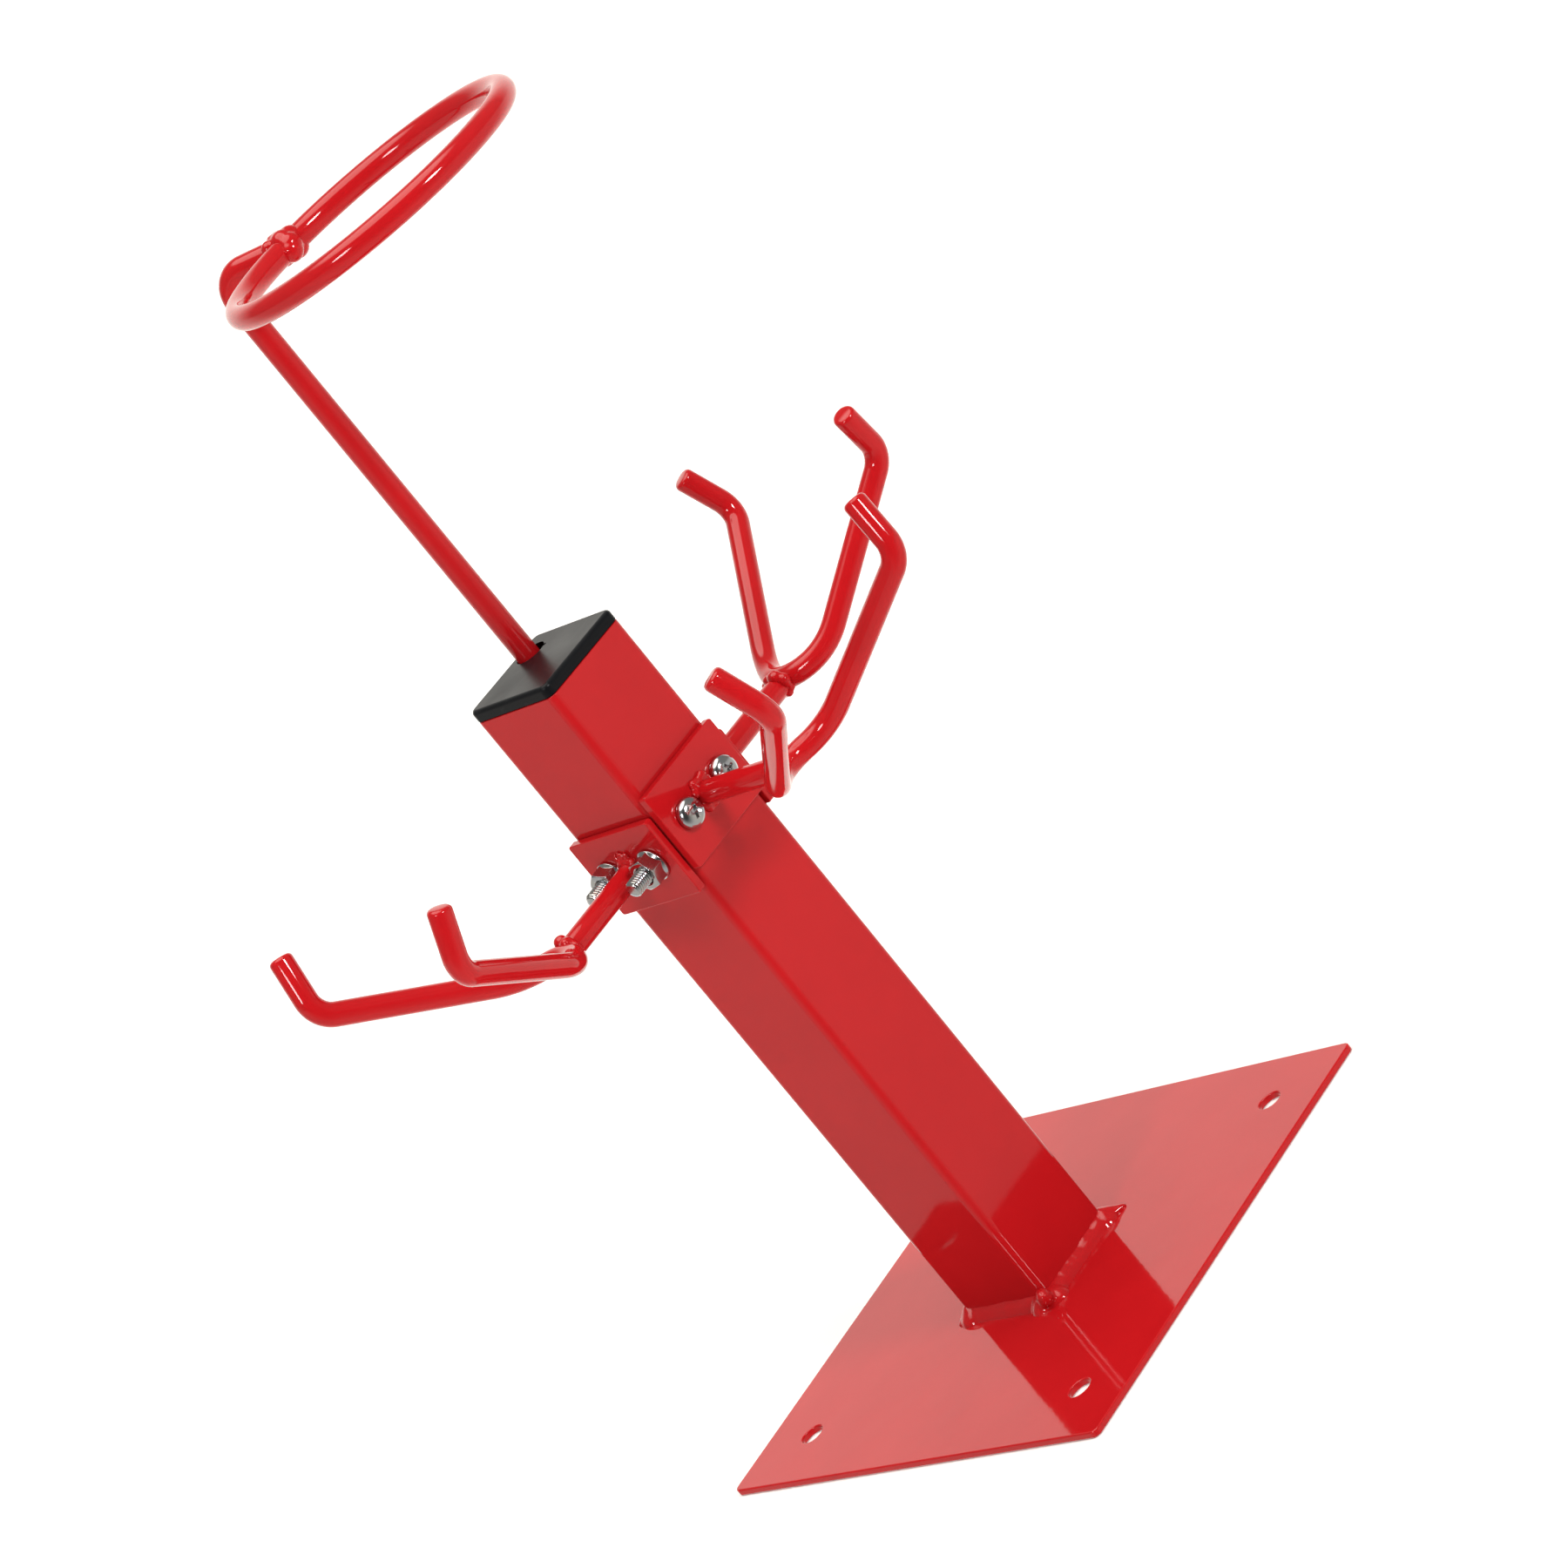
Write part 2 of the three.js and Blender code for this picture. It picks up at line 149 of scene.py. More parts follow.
class Wire:
    """A node's output that can be used in arithmetic: each operator adds a Math node."""

    def __init__(self, recipe: "Recipe", socket: bpy.types.NodeSocket) -> None:
        """Keeps the socket and the recipe that it belongs to."""
        self.recipe = recipe
        self.socket = socket

    def _math(self, operation: str, first: object, second: object) -> "Wire":
        """Adds a Math node of two values."""
        return self.recipe.node("ShaderNodeMath", {"operation": operation}, {0: first, 1: second})

    def __add__(self, other: object) -> "Wire":
        """Sum."""
        return self._math("ADD", self, other)

    def __radd__(self, other: object) -> "Wire":
        """Sum with the number on the left."""
        return self._math("ADD", other, self)

    def __sub__(self, other: object) -> "Wire":
        """Difference."""
        return self._math("SUBTRACT", self, other)

    def __rsub__(self, other: object) -> "Wire":
        """Difference with the number on the left."""
        return self._math("SUBTRACT", other, self)

    def __mul__(self, other: object) -> "Wire":
        """Product."""
        return self._math("MULTIPLY", self, other)

    def __rmul__(self, other: object) -> "Wire":
        """Product with the number on the left."""
        return self._math("MULTIPLY", other, self)


class Recipe:
    """A material's or a world's nodes under construction."""

    def __init__(self, owner: bpy.types.Material | bpy.types.World) -> None:
        """Starts with no nodes.

        Args:
            owner: The new material or world.
        """
        owner.use_nodes = True
        self.owner = owner
        self.tree = owner.node_tree
        self.tree.nodes.clear()

    @classmethod
    def material(cls, name: str) -> "Recipe":
        """Starts a new material of that name."""
        return cls(bpy.data.materials.new(name))

    def node(self, kind: str, settings: dict, inputs: dict, output: object = 0) -> Wire:
        """Adds a node.

        Args:
            kind: The node's type.
            settings: Its own settings, and "stops" for a colour ramp: pairs of place and colour.
            inputs: Values or wires, by socket name or number.
            output: The name or number of the output to return.

        Returns:
            The chosen output.
        """
        node = self.tree.nodes.new(kind)
        for key, value in settings.items():
            if key == "stops":
                self._set_stops(node.color_ramp, value)
            else:
                setattr(node, key, value)
        for key, value in inputs.items():
            if isinstance(value, Wire):
                self.tree.links.new(value.socket, node.inputs[key])
            else:
                node.inputs[key].default_value = value
        return Wire(self, node.outputs[output])

    @staticmethod
    def _set_stops(ramp: bpy.types.ColorRamp, stops: list) -> None:
        """Gives a colour ramp its stops.

        Args:
            ramp: The ramp.
            stops: Pairs of place and grey level.
        """
        while len(ramp.elements) > len(stops):
            ramp.elements.remove(ramp.elements[-1])
        while len(ramp.elements) < len(stops):
            ramp.elements.new(1.0)
        for element, (place, shade) in zip(ramp.elements, stops):
            element.position = place
            element.color = (shade, shade, shade, 1)

    def place(self) -> Wire:
        """The point's place in the piece's own axes."""
        return self.node("ShaderNodeTexCoord", {}, {}, "Object")

    def heading(self) -> Wire:
        """The direction in which a ray leaves the room, in a world's nodes."""
        return self.node("ShaderNodeTexCoord", {}, {}, "Generated")

    def grain(self, place: Wire, scale: float, detail: float = 2.0, stretch: tuple = (1, 1, 1)) -> Wire:
        """A noise pattern.

        Args:
            place: Where to read it.
            scale: Repeats per metre.
            detail: How many finer layers it has.
            stretch: Scale along each axis.

        Returns:
            A value from 0 to 1.
        """
        mapped = self.node("ShaderNodeMapping", {}, {"Vector": place, "Scale": stretch})
        values = {"Vector": mapped, "Scale": scale, "Detail": detail}
        return self.node("ShaderNodeTexNoise", {}, values)

    def levels(self, value: Wire, *stops: tuple) -> Wire:
        """Sends a value through a ramp of (place, level) stops."""
        return self.node("ShaderNodeValToRGB", {"stops": list(stops)}, {"Fac": value})

    def blend(self, share: Wire, first: tuple, second: tuple) -> Wire:
        """Mixes two colours.

        Args:
            share: How much of the second shows, from 0 to 1.
            first: The first colour.
            second: The second colour.

        Returns:
            The mixed colour.
        """
        settings = {"data_type": "RGBA", "blend_type": "MIX"}
        inputs = {0: share, 6: (*first, 1), 7: (*second, 1)}
        return self.node("ShaderNodeMix", settings, inputs, 2)

    def bump(self, height: Wire, depth: float, strength: float = 1.0, under: Wire | None = None) -> Wire:
        """Turns a height into a normal.

        Args:
            height: The pattern, from 0 to 1.
            depth: Its full depth in metres.
            strength: How much of it shows.
            under: A bent normal that this one lies on.

        Returns:
            The bent normal.
        """
        values = {"Height": height, "Distance": depth, "Strength": strength}
        if under is not None:
            values["Normal"] = under
        return self.node("ShaderNodeBump", {}, values)

    def close(self, **inputs: object) -> bpy.types.Material:
        """Adds the surface shader and the output.

        Args:
            **inputs: The shader's sockets, with _ for a space.

        Returns:
            The finished material.
        """
        sockets = {key.replace("_", " "): value for key, value in inputs.items()}
        shader = self.node("ShaderNodeBsdfPrincipled", {}, sockets)
        self.send(shader, "ShaderNodeOutputMaterial")
        return self.owner

    def send(self, shader: Wire, kind: str) -> None:
        """Joins a shader to a new output node of a kind."""
        output = self.tree.nodes.new(kind)
        self.tree.links.new(shader.socket, output.inputs["Surface"])


# ------------------------------------------------------------------ finishes


@dataclass(frozen=True)
class PowderCoat:
    """Deep red gloss powder coat with a fine orange peel."""

    colour: tuple = (0.480, 0.0078, 0.0108)
    deep: tuple = (0.445, 0.0068, 0.0096)
    gloss: float = 0.055
    gloss_spread: float = 0.06
    cloud_scale: float = 28.0
    fleck_scale: float = 900.0
    peel_scale: float = 330.0
    peel_depth: float = 0.010 * MM
    swell_scale: float = 55.0
    swell_depth: float = 0.060 * MM
    ior: float = 1.45

    def material(self) -> bpy.types.Material:
        """Builds the finish.

        Returns:
            The material.
        """
        recipe = Recipe.material("red_powder_coat_gloss")
        place = recipe.place()
        cloud = recipe.grain(place, self.cloud_scale, 3.0)
        fleck = recipe.grain(place, self.fleck_scale, 1.0)
        peel = recipe.grain(place, self.peel_scale, 1.0)
        swell = recipe.grain(place, self.swell_scale, 1.0)
        shade = recipe.levels(cloud, (0.35, 0.0), (0.70, 1.0))
        colour = recipe.blend(shade, self.colour, self.deep)
        roughness = self.gloss + self.gloss_spread * cloud * fleck
        waved = recipe.bump(swell, self.swell_depth)
        return recipe.close(
            Base_Color=colour,
            Roughness=roughness,
            Normal=recipe.bump(peel, self.peel_depth, under=waved),
            IOR=self.ior,
        )


@dataclass(frozen=True)
class CapPlastic:
    """Black moulded plastic with a spark-eroded grain and faint scuffs."""

    colour: tuple = (0.0048, 0.0054, 0.0068)
    scuffed: tuple = (0.0180, 0.0190, 0.0215)
    roughness: float = 0.24
    roughness_spread: float = 0.20
    grain_scale: float = 1500.0
    grain_depth: float = 0.020 * MM
    grain_strength: float = 0.6
    cloud_scale: float = 60.0
    scratch_scale: float = 240.0
    scratch_stretch: tuple = (1.0, 0.06, 1.0)
    ior: float = 1.26

    def material(self) -> bpy.types.Material:
        """Builds the finish.

        Returns:
            The material.
        """
        recipe = Recipe.material("black_plastic_moulded")
        place = recipe.place()
        grain = recipe.grain(place, self.grain_scale, 3.0)
        cloud = recipe.grain(place, self.cloud_scale, 3.0)
        scratch = recipe.grain(place, self.scratch_scale, 2.0, self.scratch_stretch)
        scuff = recipe.levels(scratch, (0.60, 0.0), (0.72, 1.0)) * cloud
        return recipe.close(
            Base_Color=recipe.blend(scuff, self.colour, self.scuffed),
            Roughness=self.roughness + self.roughness_spread * cloud,
            Normal=recipe.bump(grain, self.grain_depth, self.grain_strength),
            IOR=self.ior,
        )


@dataclass(frozen=True)
class ZincPlate:
    """Bright zinc plate on steel, with a faint blue and straw tint."""

    blue: tuple = (0.520, 0.540, 0.580)
    straw: tuple = (0.610, 0.600, 0.580)
    roughness: float = 0.10
    roughness_spread: float = 0.16
    cloud_scale: float = 220.0
    fine_scale: float = 2600.0
    fine_share: float = 0.2
    skin_depth: float = 0.03 * MM
    skin_strength: float = 0.7

    def material(self) -> bpy.types.Material:
        """Builds the finish.

        Returns:
            The material.
        """
        recipe = Recipe.material("bright_zinc_plate")
        place = recipe.place()
        cloud = recipe.grain(place, self.cloud_scale)
        fine = recipe.grain(place, self.fine_scale)
        tint = recipe.levels(cloud, (0.38, 0.0), (0.66, 1.0))
        skin = cloud * (1 - self.fine_share) + fine * self.fine_share
        return recipe.close(
            Base_Color=recipe.blend(tint, self.blue, self.straw),
            Metallic=1.0,
            Roughness=self.roughness + self.roughness_spread * fine,
            Normal=recipe.bump(skin, self.skin_depth, self.skin_strength),
        )


@dataclass(frozen=True)
class PaleFloor:
    """Plain pale studio floor."""

    colour: tuple = (0.95, 0.95, 0.95)
    roughness: float = 0.75

    def material(self) -> bpy.types.Material:
        """Builds the finish."""
        recipe = Recipe.material("studio_floor_pale")
        return recipe.close(Base_Color=(*self.colour, 1), Roughness=self.roughness)


# ------------------------------------------------------------------ making a piece


def close_up(bm: bmesh.types.BMesh) -> None:
    """Merges doubled points and turns every face outwards."""
    bmesh.ops.remove_doubles(bm, verts=bm.verts[:], dist=MERGE_GAP)
    bmesh.ops.recalc_face_normals(bm, faces=bm.faces[:])


def at_level(edge: bmesh.types.BMEdge, level: float) -> bool:
    """Whether an edge lies at a height."""
    return all(abs(vert.co.z - level) < LEVEL_GAP for vert in edge.verts)


class Work:
    """A mesh under construction, shaped with bmesh operators."""

    def __init__(self) -> None:
        """Starts an empty mesh."""
        self.bm = bmesh.new()

    def prism(
        self, width: float, depth: float, radius: float, bottom: float, height: float, steps: int = 8
    ) -> None:
        """Adds an upright block with rounded corners, centred on the Z axis, to an empty mesh.

        Args:
            width: Size along X.
            depth: Size along Y.
            radius: Corner radius.
            bottom: Height of its underside.
            height: Size along Z.
            steps: Segments in each corner.
        """
        place = Matrix.Translation((0, 0, bottom)) @ Matrix.Diagonal((width, depth, 1, 1))
        made = bmesh.ops.create_grid(self.bm, x_segments=1, y_segments=1, size=0.5, matrix=place)
        bmesh.ops.bevel(
            self.bm,
            geom=made["verts"],
            offset=radius,
            offset_type="OFFSET",
            segments=steps,
            profile=0.5,
            affect="VERTICES",
            material=-1,
        )
        raised = bmesh.ops.extrude_face_region(self.bm, geom=self.bm.faces[:])
        top = [item for item in raised["geom"] if isinstance(item, bmesh.types.BMVert)]
        bmesh.ops.translate(self.bm, vec=(0, 0, height), verts=top)
        close_up(self.bm)

    def round_over(self, edges: list, radius: float, steps: int) -> None:
        """Rounds chosen edges.

        Args:
            edges: The edges.
            radius: How far the rounding reaches.
            steps: Segments across it.
        """
        bmesh.ops.bevel(
            self.bm,
            geom=edges,
            offset=radius,
            offset_type="OFFSET",
            segments=steps,
            profile=0.5,
            affect="EDGES",
            clamp_overlap=True,
            material=-1,
        )

    def turned(self, profile: list, steps: int = 48, matrix: Matrix = Matrix.Identity(4)) -> None:
        """Spins a profile about the Z axis into a closed shape.

        Args:
            profile: Pairs of radius and height; a radius of 0 closes an end.
            steps: Segments in the full turn.
            matrix: Where the shape goes.
        """
        part = bmesh.new()
        points = [part.verts.new((radius, 0, height)) for radius, height in profile]
        edges = [part.edges.new(pair) for pair in zip(points, points[1:])]
        bmesh.ops.spin(
            part,
            geom=points + edges,
            cent=(0, 0, 0),
            axis=(0, 0, 1),
            angle=math.tau,
            steps=steps,
            use_merge=True,
        )
        close_up(part)
        part.transform(matrix)
        mesh = bpy.data.meshes.new("part")
        part.to_mesh(mesh)
        part.free()
        self.bm.from_mesh(mesh)
        bpy.data.meshes.remove(mesh)

    def drill(self, radius: float, low: float, high: float, steps: int, matrix: Matrix) -> None:
        """Adds a plain round rod from one height to another."""
        self.turned([(0, low), (radius, low), (radius, high), (0, high)], steps, matrix)

    def place(self, matrix: Matrix) -> None:
        """Moves the whole mesh by a matrix."""
        self.bm.transform(matrix)

    def object(self, name: str) -> bpy.types.Object:
        """Ends the mesh.

        Args:
            name: The object's name.

        Returns:
            A new object that holds the mesh.
        """
        mesh = bpy.data.meshes.new(name)
        self.bm.to_mesh(mesh)
        self.bm.free()
        piece = bpy.data.objects.new(name, mesh)
        bpy.context.scene.collection.objects.link(piece)
        return piece


def bake_modifiers(piece: bpy.types.Object) -> None:
    """Applies every modifier on a piece to its mesh.

    Args:
        piece: The object to change.
    """
    bpy.context.view_layer.update()
    graph = bpy.context.evaluated_depsgraph_get()
    mesh = bpy.data.meshes.new_from_object(piece.evaluated_get(graph))
    old = piece.data
    piece.modifiers.clear()
    piece.data = mesh
    bpy.data.meshes.remove(old)


def discard(helper: bpy.types.Object) -> None:
    """Removes a helper object and its mesh.

    Args:
        helper: The object to remove.
    """
    mesh = helper.data
    bpy.data.objects.remove(helper)
    bpy.data.meshes.remove(mesh)


def combine(piece: bpy.types.Object, tool: Work, join: Join = Join.CUT) -> None:
    """Cuts a piece with a tool shape, adds the shape to it, or keeps what both share.

    Args:
        piece: The object to change.
        tool: The tool shape, which is used up.
        join: What the tool does to the piece.
    """
    cutter = tool.object("cutter")
    modifier = piece.modifiers.new("cut", "BOOLEAN")
    modifier.operation = join.value
    modifier.solver = "EXACT"
    modifier.object = cutter
    bake_modifiers(piece)
    discard(cutter)


def round_edges(piece: bpy.types.Object, radius: float, steps: int = 3, sharper_than: float = 35.0) -> None:
    """Rounds a piece's sharp edges.

    Args:
        piece: The object to change.
        radius: Edge radius.
        steps: Segments across the edge.
        sharper_than: Edges that turn by more than this many degrees are rounded.
    """
    modifier = piece.modifiers.new("edges", "BEVEL")
    modifier.width = radius
    modifier.segments = steps
    modifier.limit_method = "ANGLE"
    modifier.angle_limit = math.radians(sharper_than)
    modifier.use_clamp_overlap = True
    bake_modifiers(piece)


def finish_piece(
    piece: bpy.types.Object,
    material: bpy.types.Material,
    slot: Slot,
    body: Body,
    *nodes: str,
    flat: bool = False,
) -> None:
    """Shades a piece, gives it its finish and hangs it on its body.

    Args:
        piece: The finished mesh object, in place.
        material: Its finish.
        slot: The record's slot for that finish; not used.
        body: What it moves with.
        *nodes: The CAD nodes that it stands for.
        flat: Whether large flat faces have to stay flat between rounded edges.
    """
    piece.data.shade_smooth()
    piece.data.set_sharp_from_angle(angle=SMOOTH_BELOW)
    if flat:
        modifier = piece.modifiers.new("face_normals", "WEIGHTED_NORMAL")
        modifier.keep_sharp = True
        bake_modifiers(piece)
    piece.data.materials.clear()
    piece.data.materials.append(material)
    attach(piece, body.value)
    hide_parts(*nodes)
    log.info("%s: %d faces", piece.name, len(piece.data.polygons))


def facing_along(direction: Vector) -> Matrix:
    """The turn that takes +Z to a direction."""
    return direction.to_track_quat("Z", "Y").to_matrix().to_4x4()


@dataclass
class BarBender:
    """Makes round bar as a bender does, from straight runs and bends about a centre."""

    radius: float = 4.0 * MM
    sides: int = 32
    end_round: float = 1.5 * MM
    degrees_per_step: float = 4.0

    def bend(self, corners: list, radii: list) -> Work:
        """Makes a bar along corner points.

        Args:
            corners: Points of the centre line.
            radii: Bend radius at each inner corner.

        Returns:
            The closed bar.
        """
        work = Work()
        heading = (corners[1] - corners[0]).normalized()
        stand = Matrix.Translation(corners[0]) @ facing_along(heading)
        bmesh.ops.create_circle(
            work.bm, cap_ends=True, segments=self.sides, radius=self.radius, matrix=stand
        )
        first = loop = work.bm.edges[:]
        here = corners[0]
        for index, radius in enumerate(radii, start=1):
            corner = corners[index]
            ahead = (corners[index + 1] - corner).normalized()
            turn = heading.angle(ahead)
            room = min((corner - corners[index - 1]).length, (corners[index + 1] - corner).length) / 2
            setback = min(radius * math.tan(turn / 2), room)
            start = corner - heading * setback
            loop = self._run(work.bm, loop, start - here)
            axis = heading.cross(ahead).normalized()
            centre = start + axis.cross(heading) * (setback / math.tan(turn / 2))
            loop = self._turn(work.bm, loop, centre, axis, turn)
            here = corner + ahead * setback
            heading = ahead
        loop = self._run(work.bm, loop, corners[-1] - here)
        bmesh.ops.edgeloop_fill(work.bm, edges=loop)
        bmesh.ops.recalc_face_normals(work.bm, faces=work.bm.faces[:])
        work.round_over(first + loop, self.end_round, 4)
        return work

    @staticmethod
    def _run(bm: bmesh.types.BMesh, loop: list, step: Vector) -> list:
        """Draws a loop of edges straight on.

        Args:
            bm: The bar's mesh.
            loop: The loop's edges.
            step: How far it goes.

        Returns:
            The new loop's edges.
        """
        made = bmesh.ops.extrude_edge_only(bm, edges=loop)["geom"]
        points = [item for item in made if isinstance(item, bmesh.types.BMVert)]
        bmesh.ops.translate(bm, vec=step, verts=points)
        return [item for item in made if isinstance(item, bmesh.types.BMEdge)]

    def _turn(self, bm: bmesh.types.BMesh, loop: list, centre: Vector, axis: Vector, angle: float) -> list:
        """Draws a loop of edges round a bend.

        Args:
            bm: The bar's mesh.
            loop: The loop's edges.
            centre: The bend's centre.
            axis: The axis that it turns about.
            angle: How far it turns, in radians.

        Returns:
            The new loop's edges.
        """
        steps = max(2, math.ceil(math.degrees(angle) / self.degrees_per_step))
        made = bmesh.ops.spin(bm, geom=loop, cent=centre, axis=axis, angle=angle, steps=steps)
        return [item for item in made["geom_last"] if isinstance(item, bmesh.types.BMEdge)]


@dataclass
class WeldBead:
    """Weld metal under paint: overlapping lumps fused into one rippled skin.

    The ripple's scale is in waves per metre, stretch presses its waves together in height, and relax is
    the number of smoothing passes.
    """

    voxel: float = 0.40 * MM
    ripple_scale: float = 420.0
    ripple_depth: float = 0.14 * MM
    stretch: float = 1.0
    relax: int = 7
    lumps: list = field(default_factory=list)

    def add(self, centre: Vector, sizes: Vector, turn: Matrix = Matrix.Identity(4)) -> None:
        """Adds a lump by its centre, half sizes and turn."""
        self.lumps.append(Matrix.Translation(centre) @ turn @ Matrix.Diagonal((*sizes, 1)))

    def add_ball(self, centre: Vector, size: float) -> None:
        """Adds a round lump by its centre and radius."""
        self.add(centre, Vector((size, size, size)))

    def build(self, name: str) -> bpy.types.Object:
        """Fuses the lumps into one skin and ripples it.

        Args:
            name: The bead's name.

        Returns:
            The bead.
        """
        work = Work()
        for lump in self.lumps:
            bmesh.ops.create_icosphere(work.bm, subdivisions=3, radius=1.0, matrix=lump)
        piece = work.object(name)
        fuse = piece.modifiers.new("fuse", "REMESH")
        fuse.mode = "VOXEL"
        fuse.voxel_size = self.voxel
        relax = piece.modifiers.new("relax", "SMOOTH")
        relax.factor = 0.5
        relax.iterations = self.relax
        bake_modifiers(piece)
        bm = bmesh.new()
        bm.from_mesh(piece.data)
        bm.normal_update()
        for vert in bm.verts:
            spot = vert.co * self.ripple_scale
            spot.z *= self.stretch
            vert.co += vert.normal * noise.noise(spot) * self.ripple_depth
        bmesh.ops.recalc_face_normals(bm, faces=bm.faces[:])
        bm.to_mesh(piece.data)
        bm.free()
        return piece


def span(node: str, direction: Vector) -> tuple:
    """Measures a CAD node along an axis direction.

    Args:
        node: The node's name.
        direction: A unit vector along an axis.

    Returns:
        Its lowest and highest reach.
    """
    low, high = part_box(node)
    ends = sorted((low.dot(direction), high.dot(direction)))
    return ends[0], ends[1]


def middle(node: str) -> Vector:
    """The centre of a CAD node's box."""
    low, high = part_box(node)
    return (low + high) / 2


def moved_to(node: str, direction: Vector, reach: float) -> Vector:
    """The centre of a CAD node's box, moved along a direction until it lies at a reach."""
    centre = middle(node)
    return centre + direction * (reach - centre.dot(direction))


# ------------------------------------------------------------------ base and post


@dataclass
class BasePlate:
    """The square steel sheet that is bolted to the bench."""

    paint: bpy.types.Material
    corner_radius: float = 2.5 * MM
    hole_inset: float = 23.0 * MM
    hole_radius: float = 4.1 * MM
    edge_round: float = 0.55 * MM

    def build(self) -> None:
        """Makes the sheet with its four bench-bolt holes."""
        low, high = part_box("base_plate")
        side, thickness = high.x - low.x, high.z - low.z
        work = Work()
        work.prism(side, side, self.corner_radius, low.z, thickness)
        piece = work.object("base_plate_sheet")
        reach = side / 2 - self.hole_inset
        drills = Work()
        for x in (-reach, reach):
            for y in (-reach, reach):
                place = Matrix.Translation((x, y, 0))
                drills.drill(self.hole_radius, -thickness, thickness * 2, 40, place)
        combine(piece, drills)
        round_edges(piece, self.edge_round, 3)
        finish_piece(piece, self.paint, Slot.RED, Body.STAND, "base_plate", flat=True)


@dataclass
class Post:
    """The square tube, drilled for both rows of screws, and its foot weld.

    The weld's flares are the lengths of its tails at the first three corners, and blob_corner is the
    fourth. The middles of its runs lie weld_depth inside the corner of post and plate, and they keep to
    weld_reach of the post's half width. The skin of the weld ends weld_sink inside both.
    """

    paint: bpy.types.Material
    corner_radius: float = 3.0 * MM
    wall: float = 1.5 * MM
    edge_round: float = 0.35 * MM
    weld_runs: int = 14
    weld_reach: float = 0.86
    weld_leg: float = 4.8 * MM
    weld_flares: tuple = (3.4 * MM, 2.2 * MM, 1.5 * MM)
    weld_sink: float = 0.8 * MM
    weld_depth: float = 2.4 * MM
    blob_corner: int = 3

    def build(self) -> None:
        """Makes the tube and the weld."""
        self._tube()
        self._foot_weld()

    def _tube(self) -> None:
        """Makes the tube."""
        low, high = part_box("post_tube")
        width, length = high.x - low.x, high.z - low.z
        work = Work()
        work.prism(width, width, self.corner_radius, low.z, length)
        piece = work.object("post_square_tube")
        bore = Work()
        inside = width - 2 * self.wall
        bore.prism(inside, inside, self.corner_radius - self.wall, low.z - 1 * MM, length + 2 * MM)
        combine(piece, bore)
        drills = Work()
        for row in Row:
            axis = Matrix.Rotation(math.pi / 2, 4, row.heads.across)
            for hand in Hand:
                centre = moved_to(row.node("screw", hand), row.heads.outward, 0)
                drills.drill(SCREW_DRILL, -width, width, 24, Matrix.Translation(centre) @ axis)
        combine(piece, drills)
        round_edges(piece, self.edge_round, 2, 45.0)
        finish_piece(piece, self.paint, Slot.RED, Body.STAND, "post_tube", flat=True)

    def _foot_weld(self) -> None:
        """Lays a smooth bead along each side of the post's foot, ending in flares and one blob."""
        random.seed(11)
        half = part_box("post_tube")[1].x
        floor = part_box("base_plate")[1].z
        bead = WeldBead(ripple_scale=140.0, ripple_depth=0.16 * MM, stretch=4.5, relax=22)
        for turn in range(4):
            spin = Matrix.Rotation(turn * math.pi / 2, 4, "Z")
            for run in range(self.weld_runs):
                along = (run / (self.weld_runs - 1) * 2 - 1) * half * self.weld_reach
                leg = self.weld_leg * random.uniform(0.87, 0.93) + self.weld_depth
                centre = Vector((half - self.weld_depth, along, floor - self.weld_depth))
                length = half * random.uniform(0.40, 0.52)
                bead.add(spin @ centre, Vector((leg * 0.95, length, leg * random.uniform(1.0, 1.06))), spin)
            if turn == self.blob_corner:
                self._blob(bead, spin, half, floor)
            else:
                self._flare(bead, spin, half, floor, self.weld_flares[turn])
        piece = bead.build("foot_weld_bead")
        inside = half - self.weld_sink
        for vert in piece.data.vertices:
            vert.co.z = max(vert.co.z, floor - self.weld_sink)
            reach = max(abs(vert.co.x), abs(vert.co.y))
            if reach < inside:
                vert.co.xy *= inside / reach
        finish_piece(piece, self.paint, Slot.RED, Body.STAND, "foot_weld")

    def _flare(self, bead: WeldBead, spin: Matrix, half: float, floor: float, length: float) -> None:
        """Adds the pointed tail that two runs leave on the plate at a corner.

        Args:
            bead: The bead to add to.
            spin: The turn that takes the first side to this one.
            half: Half the post's width.
            floor: Height of the base plate's top.
            length: How far the tail reaches past the corner, along X and along Y.
        """
        steps = 7
        inset = 1.0 * MM
        turn = spin @ Matrix.Rotation(math.pi / 4, 4, "Z")
        for step in range(steps):
            share = step / (steps - 1)
            reach = half - inset + (length + inset) * share
            height = self.weld_leg * (1.05 - 0.75 * share)
            centre = Vector((reach, reach, floor))
            sizes = Vector((self.weld_leg * 0.55, self.weld_leg * (0.90 - 0.60 * share), height))
            bead.add(spin @ centre, sizes, turn)

    def _blob(self, bead: WeldBead, spin: Matrix, half: float, floor: float) -> None:
        """Adds the lumps where both runs start and end.

        Args:
            bead: The bead to add to.
            spin: The turn that takes the first side to this one.
            half: Half the post's width.
            floor: Height of the base plate's top.
        """
        lumps = 7
        for _ in range(lumps):
            reach = half + random.uniform(-0.4, 2.2) * MM
            other = half + random.uniform(-0.4, 2.2) * MM
            centre = Vector((reach, other, floor + random.uniform(1.4, 5.4) * MM))
            bead.add(spin @ centre, Vector([random.uniform(1.8, 2.8) * MM for _ in range(3)]), spin)


